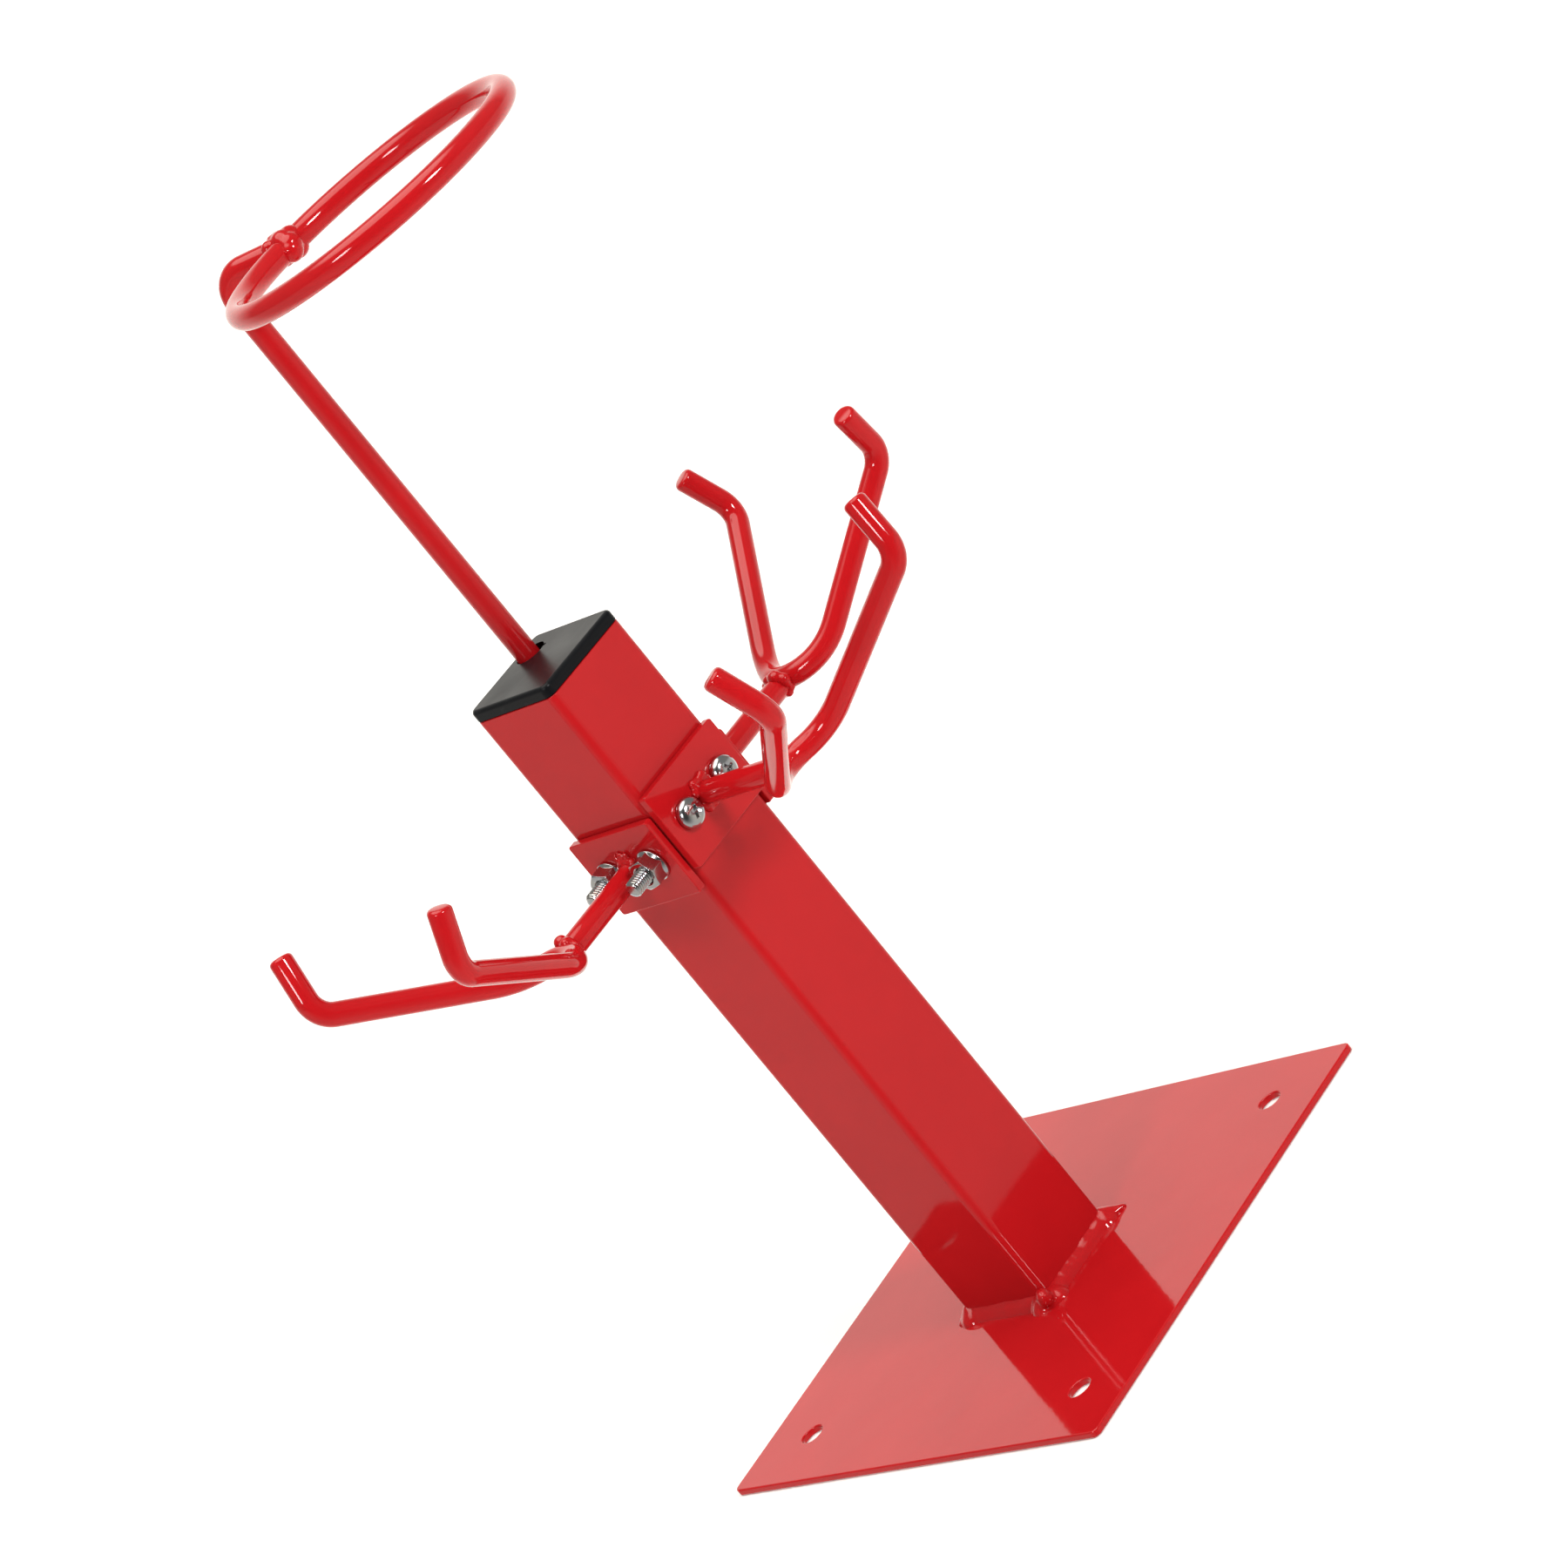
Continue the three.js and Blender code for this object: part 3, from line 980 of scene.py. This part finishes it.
@dataclass
class EndCap:
    """The black moulded cap that closes the post and guides the strainer rod."""

    plastic: bpy.types.Material
    rod_axis: Vector
    flange: float = 4.0 * MM
    corner_radius: float = 3.0 * MM
    bevel: float = 1.5 * MM
    skirt_wall: float = 1.2 * MM
    skirt_inset: float = 1.8 * MM
    bore_corner: float = 0.5 * MM
    hole_radius: float = 5.42 * MM
    hole_shift: Vector = field(default_factory=lambda: Vector((1.0, 0.5, 0)) * MM)
    notch_radius: float = 0.8 * MM
    notch_offset: float = 0.2 * MM
    drill_depth: float = 9.0 * MM

    def build(self) -> None:
        """Makes the flange, the skirt and the rod hole."""
        low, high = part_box("end_cap")
        width = high.x - low.x
        work = Work()
        work.prism(width, width, self.corner_radius, high.z - self.flange, self.flange)
        work.round_over([edge for edge in work.bm.edges if at_level(edge, high.z)], self.bevel, 5)
        piece = work.object("end_cap_moulding")
        self._add_skirt(piece, width, low.z, high.z)
        self._cut_hole(piece, high.z)
        finish_piece(piece, self.plastic, Slot.BLACK, Body.STAND, "end_cap", flat=True)

    def _add_skirt(self, piece: bpy.types.Object, width: float, bottom: float, top: float) -> None:
        """Joins the hollow skirt that plugs the tube.

        Args:
            piece: The cap.
            width: The flange's width.
            bottom: Height of the skirt's lower end.
            top: Height of the cap's top.
        """
        outer = width - 2 * self.skirt_inset
        skirt = Work()
        height = top - self.flange * 0.6 - bottom
        skirt.prism(outer, outer, self.corner_radius - self.skirt_inset, bottom, height)
        combine(piece, skirt, Join.ADD)
        bore = outer - 2 * self.skirt_wall
        hollow = Work()
        hollow.prism(bore, bore, self.bore_corner, bottom - 1 * MM, top - self.flange - bottom + 1 * MM)
        combine(piece, hollow)

    def _cut_hole(self, piece: bpy.types.Object, top: float) -> None:
        """Cuts the oversize rod hole with a torn notch at its rim.

        Args:
            piece: The cap.
            top: Height of its top.
        """
        centre = Vector((self.rod_axis.x, self.rod_axis.y, 0)) + self.hole_shift
        away = self.hole_shift.normalized() * (self.hole_radius + self.notch_offset)
        for radius, steps, place in ((self.hole_radius, 40, centre), (self.notch_radius, 12, centre + away)):
            tool = Work()
            tool.drill(radius, top - self.drill_depth, top + 2 * MM, steps, Matrix.Translation(place))
            combine(piece, tool)


# ------------------------------------------------------------------ cradles


@dataclass
class Cradle:
    """One gun cradle: drilled plate, arm, bent fork and the welds between them.

    A fork's corners, from its back to its tips, are the bend, the shoulder and the tip. Each is its side,
    reach and rise in millimetres, and the first two end with the radius of the bar's bend there. The ridge
    and the drip are the half sizes of the lumps above and below the arm's root.
    """

    name: str
    facing: Facing
    paint: bpy.types.Material
    bender: BarBender
    seed: int
    bend: tuple = (15.4, 11.0, 0.8, 24.5)
    shoulder: tuple = (38.0, 61.4, 37.0, 9.0)
    tip: tuple = (42.3, 55.0, 57.2)
    back_radius: float = 13.5 * MM
    plate_corner: float = 1.0 * MM
    plate_round: float = 0.5 * MM
    arm_sink: float = 0.4 * MM
    ridge: tuple = (1.5 * MM, 1.7 * MM, 1.5 * MM)
    drip: tuple = (1.1 * MM, 1.2 * MM, 1.2 * MM)

    def __post_init__(self) -> None:
        """Reads the cradle's place from the frame."""
        self.turn = self.facing.matrix
        self.height = middle(f"{self.name}_arm").z
        self.plate_face = span(f"{self.name}_plate", self.facing.outward)[1]
        self.back = span(f"{self.name}_fork", self.facing.outward)[0] + self.bender.radius

    def build(self) -> None:
        """Makes every piece of the cradle."""
        self._plate()
        self._fork()
        self._arm()
        self._fork_weld()
        for rise in Rise:
            self._plate_weld(rise)

    def _finish(self, piece: bpy.types.Object, part: str, flat: bool = False) -> None:
        """Paints a piece that stands for one of the cradle's CAD nodes."""
        finish_piece(piece, self.paint, Slot.RED, Body.STAND, f"{self.name}_{part}", flat=flat)

    def _plate(self) -> None:
        """Makes the drilled plate."""
        outward = self.facing.outward
        inner, outer = span(f"{self.name}_plate", outward)
        left, right = span(f"{self.name}_plate", self.facing.across)
        low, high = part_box(f"{self.name}_plate")
        work = Work()
        work.prism(right - left, high.z - low.z, self.plate_corner, 0, outer - inner, 5)
        upright = Matrix.Translation((0, outer, self.height)) @ Matrix.Rotation(math.pi / 2, 4, "X")
        work.place(self.turn @ upright)
        piece = work.object(f"{self.name}_cradle_plate")
        drills = Work()
        below, above = -8 * MM, 4 * MM
        row = Row.CROSSWISE if self.facing is Facing.SIDE else Row.LENGTHWISE
        for hand in Hand:
            centre = moved_to(row.node("screw", hand), outward, self.plate_face)
            place = Matrix.Translation(centre) @ facing_along(outward)
            drills.drill(SCREW_DRILL, below, above, 32, place)
        combine(piece, drills)
        round_edges(piece, self.plate_round, 3)
        self._finish(piece, "plate", flat=True)

    def _corners(self) -> tuple:
        """Places the fork's corners, facing +Y.

        Returns:
            The corner points and the bend radii.
        """
        half_angle = math.atan2(self.bend[0], self.bend[1])
        lead = self.back_radius * (1 / math.sin(half_angle) - 1)
        reach = self.back - lead

        def at(sign: int, point: tuple) -> Vector:
            """A corner on one side of the fork."""
            return Vector((sign * point[0] * MM, reach + point[1] * MM, self.height + point[2] * MM))

        corners = [at(-1, self.tip), at(-1, self.shoulder), at(-1, self.bend)]
        corners.append(Vector((0, reach, self.height)))
        corners += [at(1, self.bend), at(1, self.shoulder), at(1, self.tip)]
        outer = [self.shoulder[3] * MM, self.bend[3] * MM]
        return corners, [*outer, self.back_radius, *reversed(outer)]

    def _fork(self) -> None:
        """Makes the bent fork."""
        work = self.bender.bend(*self._corners())
        work.place(self.turn)
        self._finish(work.object(f"{self.name}_cradle_fork"), "fork")

    def _arm(self) -> None:
        """Makes the straight arm, let a little way into the plate and the fork's back."""
        start = Vector((0, self.plate_face - self.arm_sink, self.height))
        end = Vector((0, self.back - self.bender.radius * 0.4, self.height))
        work = self.bender.bend([start, end], [])
        work.place(self.turn)
        self._finish(work.object(f"{self.name}_cradle_arm"), "arm")

    def _fork_weld(self) -> None:
        """Makes the weld round the joint of arm and fork: a collar with a few fat lumps on it."""
        random.seed(self.seed * 7 + 3)
        radius = self.bender.radius
        bead = WeldBead()
        collar, knobs = 12, 4
        for index in range(collar):
            angle = index / collar * math.tau
            off = radius * random.uniform(0.72, 0.88)
            centre = Vector((
                math.cos(angle) * off * 1.15,
                self.back - radius * random.uniform(0.80, 1.05),
                self.height + math.sin(angle) * off,
            ))
            bead.add_ball(self.turn @ centre, radius * random.uniform(0.40, 0.52))
        for index in range(knobs):
            angle = math.pi * (0.15 + 0.25 * index)
            centre = Vector((
                math.cos(angle) * radius * 1.05,
                self.back - radius * random.uniform(0.55, 1.25),
                self.height + math.sin(angle) * radius * 0.95,
            ))
            size = radius * random.uniform(0.42, 0.60)
            bead.add(self.turn @ centre, Vector((size * 1.2, size, size)))
        self._finish(bead.build(f"{self.name}_fork_weld_bead"), "fork_weld")

    def _plate_weld(self, rise: Rise) -> None:
        """Makes the weld above or below the arm's root.

        Args:
            rise: Which of the two it is.
        """
        random.seed(self.seed * 13 + rise.value)
        radius = self.bender.radius
        bead = WeldBead()
        lumps, sweep = 9, 1.9
        for index in range(lumps):
            angle = math.pi / 2 * rise.value + (index / (lumps - 1) - 0.5) * sweep
            size = radius * random.uniform(0.32, 0.44)
            centre = Vector((
                math.cos(angle) * radius,
                self.plate_face + size * 0.35,
                self.height + math.sin(angle) * radius,
            ))
            bead.add(self.turn @ centre, Vector((size, size * 1.15, size)))
        self._splashes(bead, rise)
        side = rise.name.lower()
        self._finish(bead.build(f"{self.name}_{side}_weld_bead"), f"plate_weld_{side}")

    def _splashes(self, bead: WeldBead, rise: Rise) -> None:
        """Adds the lumps that the welder left at the root: a ridge above it or a drip below.

        Args:
            bead: The bead to add to.
            rise: Which of the two welds it is.
        """
        width, depth, height = self.ridge if rise is Rise.UPPER else self.drip
        radius = self.bender.radius
        lumps = 4
        for index in range(lumps):
            along = (index - (lumps - 1) / 2) * radius * 0.42 + random.uniform(-0.1, 0.1) * radius
            scale = random.uniform(0.8, 1.2)
            level = self.height + rise.value * (radius + height * 0.5)
            centre = Vector((along, self.plate_face + depth * 0.4, level))
            bead.add(self.turn @ centre, Vector((width, depth, height * scale)))


# ------------------------------------------------------------------ fasteners


@dataclass
class Screw:
    """A cross-recessed pan-head screw with a rolled thread."""

    plating: bpy.types.Material
    shank_radius: float = 2.95 * MM
    root_radius: float = 2.45 * MM
    pitch: float = 1.0 * MM
    thread_length: float = 15.0 * MM
    head_radius: float = 5.2 * MM
    head_height: float = 3.9 * MM
    recess_width: float = 1.45 * MM
    recess_length: float = 6.6 * MM
    recess_depth: float = 2.3 * MM
    thread_steps: int = 32

    def build(self, row: Row, hand: Hand, spin: float) -> None:
        """Makes one screw.

        Args:
            row: Its row.
            hand: Its place in the row.
            spin: How far its recess is turned, in degrees.
        """
        node = row.node("screw", hand)
        outward = row.heads.outward
        inner, outer = span(node, outward)
        seat = outer - self.head_height
        length = seat - inner
        work = Work()
        head, height = self.head_radius, self.head_height
        profile = [
            (0, -length + self.thread_length - self.pitch),
            (self.root_radius, -length + self.thread_length - self.pitch),
            (self.shank_radius, -length + self.thread_length),
            (self.shank_radius, 0),
            (head - 0.35 * MM, 0),
            (head - 0.10 * MM, height * 0.03),
            (head, height * 0.12),
            (head, height * 0.26),
            (head * 0.985, height * 0.42),
            (head * 0.92, height * 0.62),
            (head * 0.80, height * 0.79),
            (head * 0.62, height * 0.91),
            (head * 0.40, height * 0.975),
            (head * 0.20, height * 0.996),
            (0, height),
        ]
        work.turned(profile, 56)
        piece = work.object(f"{row.value}_{hand.value}_pan_screw")
        for tool in self._recess():
            combine(piece, tool)
        round_edges(piece, 0.12 * MM, 2, 40.0)
        thread = self._thread()
        thread.data.transform(Matrix.Translation((0, 0, -length)))
        bm = bmesh.new()
        bm.from_mesh(piece.data)
        bm.from_mesh(thread.data)
        discard(thread)
        place = Matrix.Translation(moved_to(node, outward, seat)) @ facing_along(outward)
        bm.transform(place @ Matrix.Rotation(math.radians(spin), 4, "Z"))
        bm.to_mesh(piece.data)
        bm.free()
        finish_piece(piece, self.plating, Slot.ZINC, Body.STAND, node)

    def _recess(self) -> list:
        """Makes the two tapered wings and the round well that are punched into the head.

        Returns:
            The tool shapes.
        """
        tools = []
        for turn in (0, math.pi / 2):
            wing = Work()
            wide = Matrix.Diagonal((self.recess_length, self.recess_width, self.recess_depth * 2, 1))
            bmesh.ops.create_cube(wing.bm, size=1.0, matrix=wide)
            foot = [vert for vert in wing.bm.verts if vert.co.z < 0]
            bmesh.ops.scale(wing.bm, vec=(0.45, 0.7, 1), verts=foot)
            wing.place(Matrix.Translation((0, 0, self.head_height)) @ Matrix.Rotation(turn, 4, "Z"))
            close_up(wing.bm)
            tools.append(wing)
        well = Work()
        top = self.head_height
        profile = [(0, top - self.recess_depth * 1.1), (0.9 * MM, top - self.recess_depth * 0.8)]
        profile += [(1.4 * MM, top + 1 * MM), (0, top + 1 * MM)]
        well.turned(profile, 24)
        tools.append(well)
        return tools

    def _thread(self) -> bpy.types.Object:
        """Makes a helical thread that starts at z = 0, with its end turned to a chamfer.

        Returns:
            The thread as an object.
        """
        work = Work()
        bm = work.bm
        length = self.thread_length
        turns = math.ceil(length / self.pitch) + 2
        shape = [(self.root_radius, 0.0), (self.root_radius, 0.12)]
        shape += [(self.shank_radius, 0.46), (self.shank_radius, 0.60)]
        points = [
            bm.verts.new((radius, 0, (turn - 1 + part) * self.pitch))
            for turn in range(turns)
            for radius, part in shape
        ]
        edges = [bm.edges.new(pair) for pair in zip(points, points[1:])]
        bmesh.ops.spin(
            bm,
            geom=points + edges,
            cent=(0, 0, 0),
            axis=(0, 0, 1),
            dvec=(0, 0, self.pitch / self.thread_steps),
            angle=math.tau,
            steps=self.thread_steps,
        )
        bmesh.ops.remove_doubles(bm, verts=bm.verts[:], dist=0.004 * MM)
        for level, normal in ((0.0, (0, 0, -1)), (length, (0, 0, 1))):
            everything = bm.verts[:] + bm.edges[:] + bm.faces[:]
            bmesh.ops.bisect_plane(
                bm,
                geom=everything,
                dist=0.0005 * MM,
                plane_co=(0, 0, level),
                plane_no=normal,
                clear_outer=True,
            )
            rim = [edge for edge in bm.edges if edge.is_boundary and at_level(edge, level)]
            bmesh.ops.edgenet_fill(bm, edges=rim)
        close_up(bm)
        thread = work.object("thread")
        envelope = Work()
        loose = self.shank_radius + 0.2 * MM
        point = self.root_radius - 0.25 * MM
        profile = [(0, -0.1 * MM), (point, 0.05 * MM), (loose, 1.0 * MM), (loose, length * 2)]
        envelope.turned([*profile, (0, length * 2)], 40)
        combine(thread, envelope, Join.KEEP_SHARED)
        return thread


@dataclass
class FlangeNut:
    """A hexagon nut with a conical flange."""

    plating: bpy.types.Material
    across_flats: float = 10.0 * MM
    flange_radius: float = 5.9 * MM
    flange_height: float = 1.3 * MM
    bore_radius: float = 3.2 * MM
    bore_lead: float = 0.45 * MM
    corner_drop: float = 0.55 * MM
    edge_round: float = 0.22 * MM

    def build(self, row: Row, hand: Hand, spin: float) -> None:
        """Makes one nut, on the side of the post that its screw's head is not on.

        Args:
            row: Its row.
            hand: Its place in the row.
            spin: How far the hexagon is turned, in degrees.
        """
        node = row.node("nut", hand)
        outward = row.heads.outward
        inner, outer = span(node, outward)
        height = outer - inner
        corner = self.across_flats / math.sqrt(3)
        work = Work()
        sunk = self.flange_height * 0.3
        place = Matrix.Translation((0, 0, (height + sunk) / 2))
        bmesh.ops.create_cone(
            work.bm,
            cap_ends=True,
            segments=6,
            radius1=corner,
            radius2=corner,
            depth=height - sunk,
            matrix=place @ Matrix.Rotation(math.radians(spin), 4, "Z"),
        )
        close_up(work.bm)
        piece = work.object(f"{row.value}_{hand.value}_flange_nut")
        flat = self.across_flats / 2
        envelope = Work()
        loose = corner * 1.03
        shoulder, crown = height - self.corner_drop, height + 0.05 * MM
        profile = [(0, -1 * MM), (loose, -1 * MM), (loose, shoulder), (flat * 0.93, crown), (0, crown)]
        envelope.turned(profile, 56)
        combine(piece, envelope, Join.KEEP_SHARED)
        skirt = Work()
        wide, rise = self.flange_radius, self.flange_height
        skirt.turned([(0, 0), (wide, 0), (wide, rise * 0.55), (flat * 0.9, rise * 1.6), (0, rise * 1.6)], 56)
        combine(piece, skirt, Join.ADD)
        bore = Work()
        radius, lead = self.bore_radius, self.bore_lead
        bore.turned([
            (0, -1 * MM), (radius, -1 * MM), (radius, height - lead),
            (radius + lead * 2, height + lead), (0, height + lead),
        ], 40)
        combine(piece, bore)
        round_edges(piece, self.edge_round, 2, 25.0)
        piece.data.transform(Matrix.Translation(moved_to(node, outward, outer)) @ facing_along(-outward))
        finish_piece(piece, self.plating, Slot.ZINC, Body.STAND, node, flat=True)


@dataclass
class ScrewRow:
    """Two through screws and their nuts."""

    row: Row
    plating: bpy.types.Material
    screw_spins: tuple = (20.0, 65.0)
    nut_spins: tuple = (12.0, 40.0)

    def build(self) -> None:
        """Makes the row."""
        screw = Screw(self.plating)
        nut = FlangeNut(self.plating)
        for hand, screw_spin, nut_spin in zip(Hand, self.screw_spins, self.nut_spins):
            screw.build(self.row, hand, screw_spin)
            nut.build(self.row, hand, nut_spin)


# ------------------------------------------------------------------ strainer rod and ring


@dataclass
class Strainer:
    """The bent rod, the ring that holds a paper strainer, and the weld between them.

    The ring's tilt, its bearing and the place of the joint on it are in degrees. The ring settles a hair
    below the middle of its CAD node.
    """

    paint: bpy.types.Material
    bender: BarBender
    rod_axis: Vector
    ring_radius: float = 51.4 * MM
    ring_tilt: float = 2.8
    ring_bearing: float = 4.5
    ring_joint: float = 170.5
    ring_settle: float = 0.06 * MM
    elbow_height: float = 422.0 * MM
    elbow_radius: float = 8.3 * MM
    ring_steps: int = 144

    def __post_init__(self) -> None:
        """Works out where the ring lies and where the rod meets it."""
        centre = middle("strainer_ring") - Vector((0, 0, self.ring_settle))
        self.lay = (
            Matrix.Translation(centre)
            @ Matrix.Rotation(math.radians(self.ring_bearing), 4, "Z")
            @ Matrix.Rotation(-math.radians(self.ring_tilt), 4, "Y")
        )
        angle = math.radians(self.ring_joint)
        self.joint = self.lay @ (Vector((math.cos(angle), math.sin(angle), 0)) * self.ring_radius)
        self.elbow = Vector((self.rod_axis.x, self.rod_axis.y, self.elbow_height))

    def build(self) -> None:
        """Makes the ring, the rod and the weld."""
        self._ring()
        self._rod()
        self._weld()

    def _ring(self) -> None:
        """Makes the ring."""
        work = Work()
        section = Matrix.Translation((self.ring_radius, 0, 0)) @ Matrix.Rotation(math.pi / 2, 4, "X")
        made = bmesh.ops.create_circle(
            work.bm, segments=self.bender.sides, radius=self.bender.radius, matrix=section
        )
        loop = list({edge for vert in made["verts"] for edge in vert.link_edges})
        bmesh.ops.spin(
            work.bm,
            geom=made["verts"] + loop,
            cent=(0, 0, 0),
            axis=(0, 0, 1),
            angle=math.tau,
            steps=self.ring_steps,
            use_merge=True,
        )
        close_up(work.bm)
        work.place(self.lay)
        piece = work.object("strainer_ring_bar")
        finish_piece(piece, self.paint, Slot.RED, Body.STRAINER, "strainer_ring")

    def _rod(self) -> None:
        """Makes the rod with its elbow, up to the ring."""
        foot = Vector((self.rod_axis.x, self.rod_axis.y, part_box("strainer_rod")[0].z))
        end = self.joint + (self.elbow - self.joint).normalized() * self.bender.radius * 0.5
        work = self.bender.bend([foot, self.elbow, end], [self.elbow_radius])
        piece = work.object("strainer_rod_bar")
        finish_piece(piece, self.paint, Slot.RED, Body.STRAINER, "strainer_rod")

    def _weld(self) -> None:
        """Makes the lumpy collar round the ring's bar where the rod meets it."""
        random.seed(5)
        radius = self.bender.radius
        along = (self.elbow - self.joint).normalized()
        side = along.cross(Vector((0, 0, 1))).normalized()
        up = side.cross(along)
        bead = WeldBead(ripple_scale=260.0, relax=12)
        knot, neck = 9, 6
        for index in range(knot):
            angle = index / knot * math.tau
            off = radius * random.uniform(0.46, 0.60)
            centre = self.joint + along * math.cos(angle) * off + up * math.sin(angle) * off
            centre += side * random.uniform(-0.75, 0.75) * radius
            bead.add_ball(centre, radius * random.uniform(0.92, 1.06))
        for index in range(neck):
            angle = index / neck * math.tau
            centre = self.joint + along * radius * random.uniform(0.9, 1.3)
            centre += side * math.cos(angle) * radius * 0.8 + up * math.sin(angle) * radius * 0.7
            bead.add_ball(centre, radius * random.uniform(0.60, 0.72))
        piece = bead.build("strainer_ring_weld_bead")
        finish_piece(piece, self.paint, Slot.RED, Body.STRAINER, "ring_weld")


# ------------------------------------------------------------------ studio


@dataclass
class Studio:
    """Floor, soft light and camera.

    The room's light is by the direction that it comes from: in front of the stand, at its sides, low at its
    sides, behind it and overhead. A softbox is its name, bearing, rise and strength.
    """

    eye: Vector = field(default_factory=lambda: Vector((1.3218, -0.9737, 0.7046)))
    aim: Vector = field(default_factory=lambda: Vector((-0.0004, 0.0445, 0.1777)))
    roll: float = 39.09
    lens: float = 124.85
    sensor: float = 36.0
    floor_size: float = 16.0
    floor_gap: float = 0.05 * MM
    front_light: float = 0.05
    side_light: float = 0.24
    low_side_light: float = 0.60
    back_light: float = 1.26
    overhead_light: float = 3.6
    warmth: tuple = (1.0, 0.970, 0.900)
    lamp_angle: float = 14.0
    softboxes: tuple = (("left_softbox", -76.0, 26.0, 0.90), ("right_softbox", 4.0, 28.0, 1.50))

    def build(self) -> None:
        """Sets up the floor, the lights and the camera."""
        self._camera()
        self._floor()
        self._world()
        for softbox in self.softboxes:
            self._lamp(*softbox)
        bpy.context.scene.view_settings.view_transform = "Standard"

    def _camera(self) -> None:
        """Sets up the rolled camera."""
        data = bpy.data.cameras.new("studio_camera")
        data.lens = self.lens
        data.sensor_width = self.sensor
        camera = bpy.data.objects.new("studio_camera", data)
        look = (self.aim - self.eye).to_track_quat("-Z", "Y").to_matrix().to_4x4()
        roll = Matrix.Rotation(-math.radians(self.roll), 4, "Z")
        camera.matrix_world = Matrix.Translation(self.eye) @ look @ roll
        bpy.context.scene.collection.objects.link(camera)
        bpy.context.scene.camera = camera

    def _floor(self) -> None:
        """Lays the floor just under the base plate."""
        work = Work()
        level = Matrix.Translation((0, 0, -self.floor_gap))
        bmesh.ops.create_grid(work.bm, x_segments=1, y_segments=1, size=self.floor_size / 2, matrix=level)
        floor = work.object("studio_floor")
        floor.visible_glossy = False
        floor.data.materials.append(PaleFloor().material())

    def _world(self) -> None:
        """Fills the room with soft light: bright overhead and at the back, dim in front."""
        world = bpy.data.worlds.new("studio_light")
        bpy.context.scene.world = world
        recipe = Recipe(world)
        heading = recipe.heading()
        away = (self.aim - self.eye).normalized()
        settings = {"operation": "DOT_PRODUCT"}
        along = recipe.node("ShaderNodeVectorMath", settings, {0: heading, 1: away}, "Value")
        height = recipe.node("ShaderNodeSeparateXYZ", {}, {0: heading}, "Z")
        turn = along * 0.5 + 0.5
        front, back = (0.06, self.front_light), (0.88, self.back_light)
        upper = recipe.levels(turn, front, (0.34, self.side_light), (0.74, self.side_light), back)
        low_side = self.low_side_light
        lower = recipe.levels(turn, front, (0.32, low_side), (0.70, low_side), back)
        above = recipe.levels(height * 0.5 + 0.5, (0.49, 0.0), (0.53, 1.0))
        room = lower + above * (upper - lower)
        lid = recipe.levels(height, (0.83, 0.0), (0.90, 1.0))
        light = room + (lid * (self.overhead_light - room))
        values = {"Color": (*self.warmth, 1), "Strength": light}
        recipe.send(recipe.node("ShaderNodeBackground", {}, values), "ShaderNodeOutputWorld")

    def _lamp(self, name: str, bearing: float, rise: float, strength: float) -> None:
        """Adds a distant round soft light.

        Args:
            name: Its name.
            bearing: Its direction from the post, in degrees from +X.
            rise: Its height above the horizon, in degrees.
            strength: Its light in watts per square metre.
        """
        data = bpy.data.lights.new(name, "SUN")
        data.angle = math.radians(self.lamp_angle)
        data.energy = strength
        lamp = bpy.data.objects.new(name, data)
        turn = Matrix.Rotation(math.radians(bearing), 4, "Z")
        tip = Matrix.Rotation(math.radians(90.0 - rise), 4, "Y")
        lamp.matrix_world = turn @ tip
        bpy.context.scene.collection.objects.link(lamp)


# ------------------------------------------------------------------ the whole stand


def main() -> None:
    """Builds the studio and every sub-assembly."""
    Studio().build()
    red = PowderCoat().material()
    black = CapPlastic().material()
    zinc = ZincPlate().material()
    bender = BarBender()
    swivel = frame["record"]["behaviour"]["joints"][0]
    rod_axis = Vector(swivel["pos_m"])
    assemblies = [
        BasePlate(red),
        Post(red),
        Cradle("front", Facing.FRONT, red, bender, seed=1, ridge=(0.65 * MM, 1.1 * MM, 2.6 * MM)),
        Cradle("side", Facing.SIDE, red, bender, seed=2),
        Cradle("rear", Facing.REAR, red, bender, seed=3),
        *(ScrewRow(row, zinc) for row in Row),
        EndCap(black, rod_axis),
        Strainer(red, bender, rod_axis),
    ]
    for assembly in assemblies:
        assembly.build()
    log.info("all pieces built")


if __name__ == "__main__":
    main()
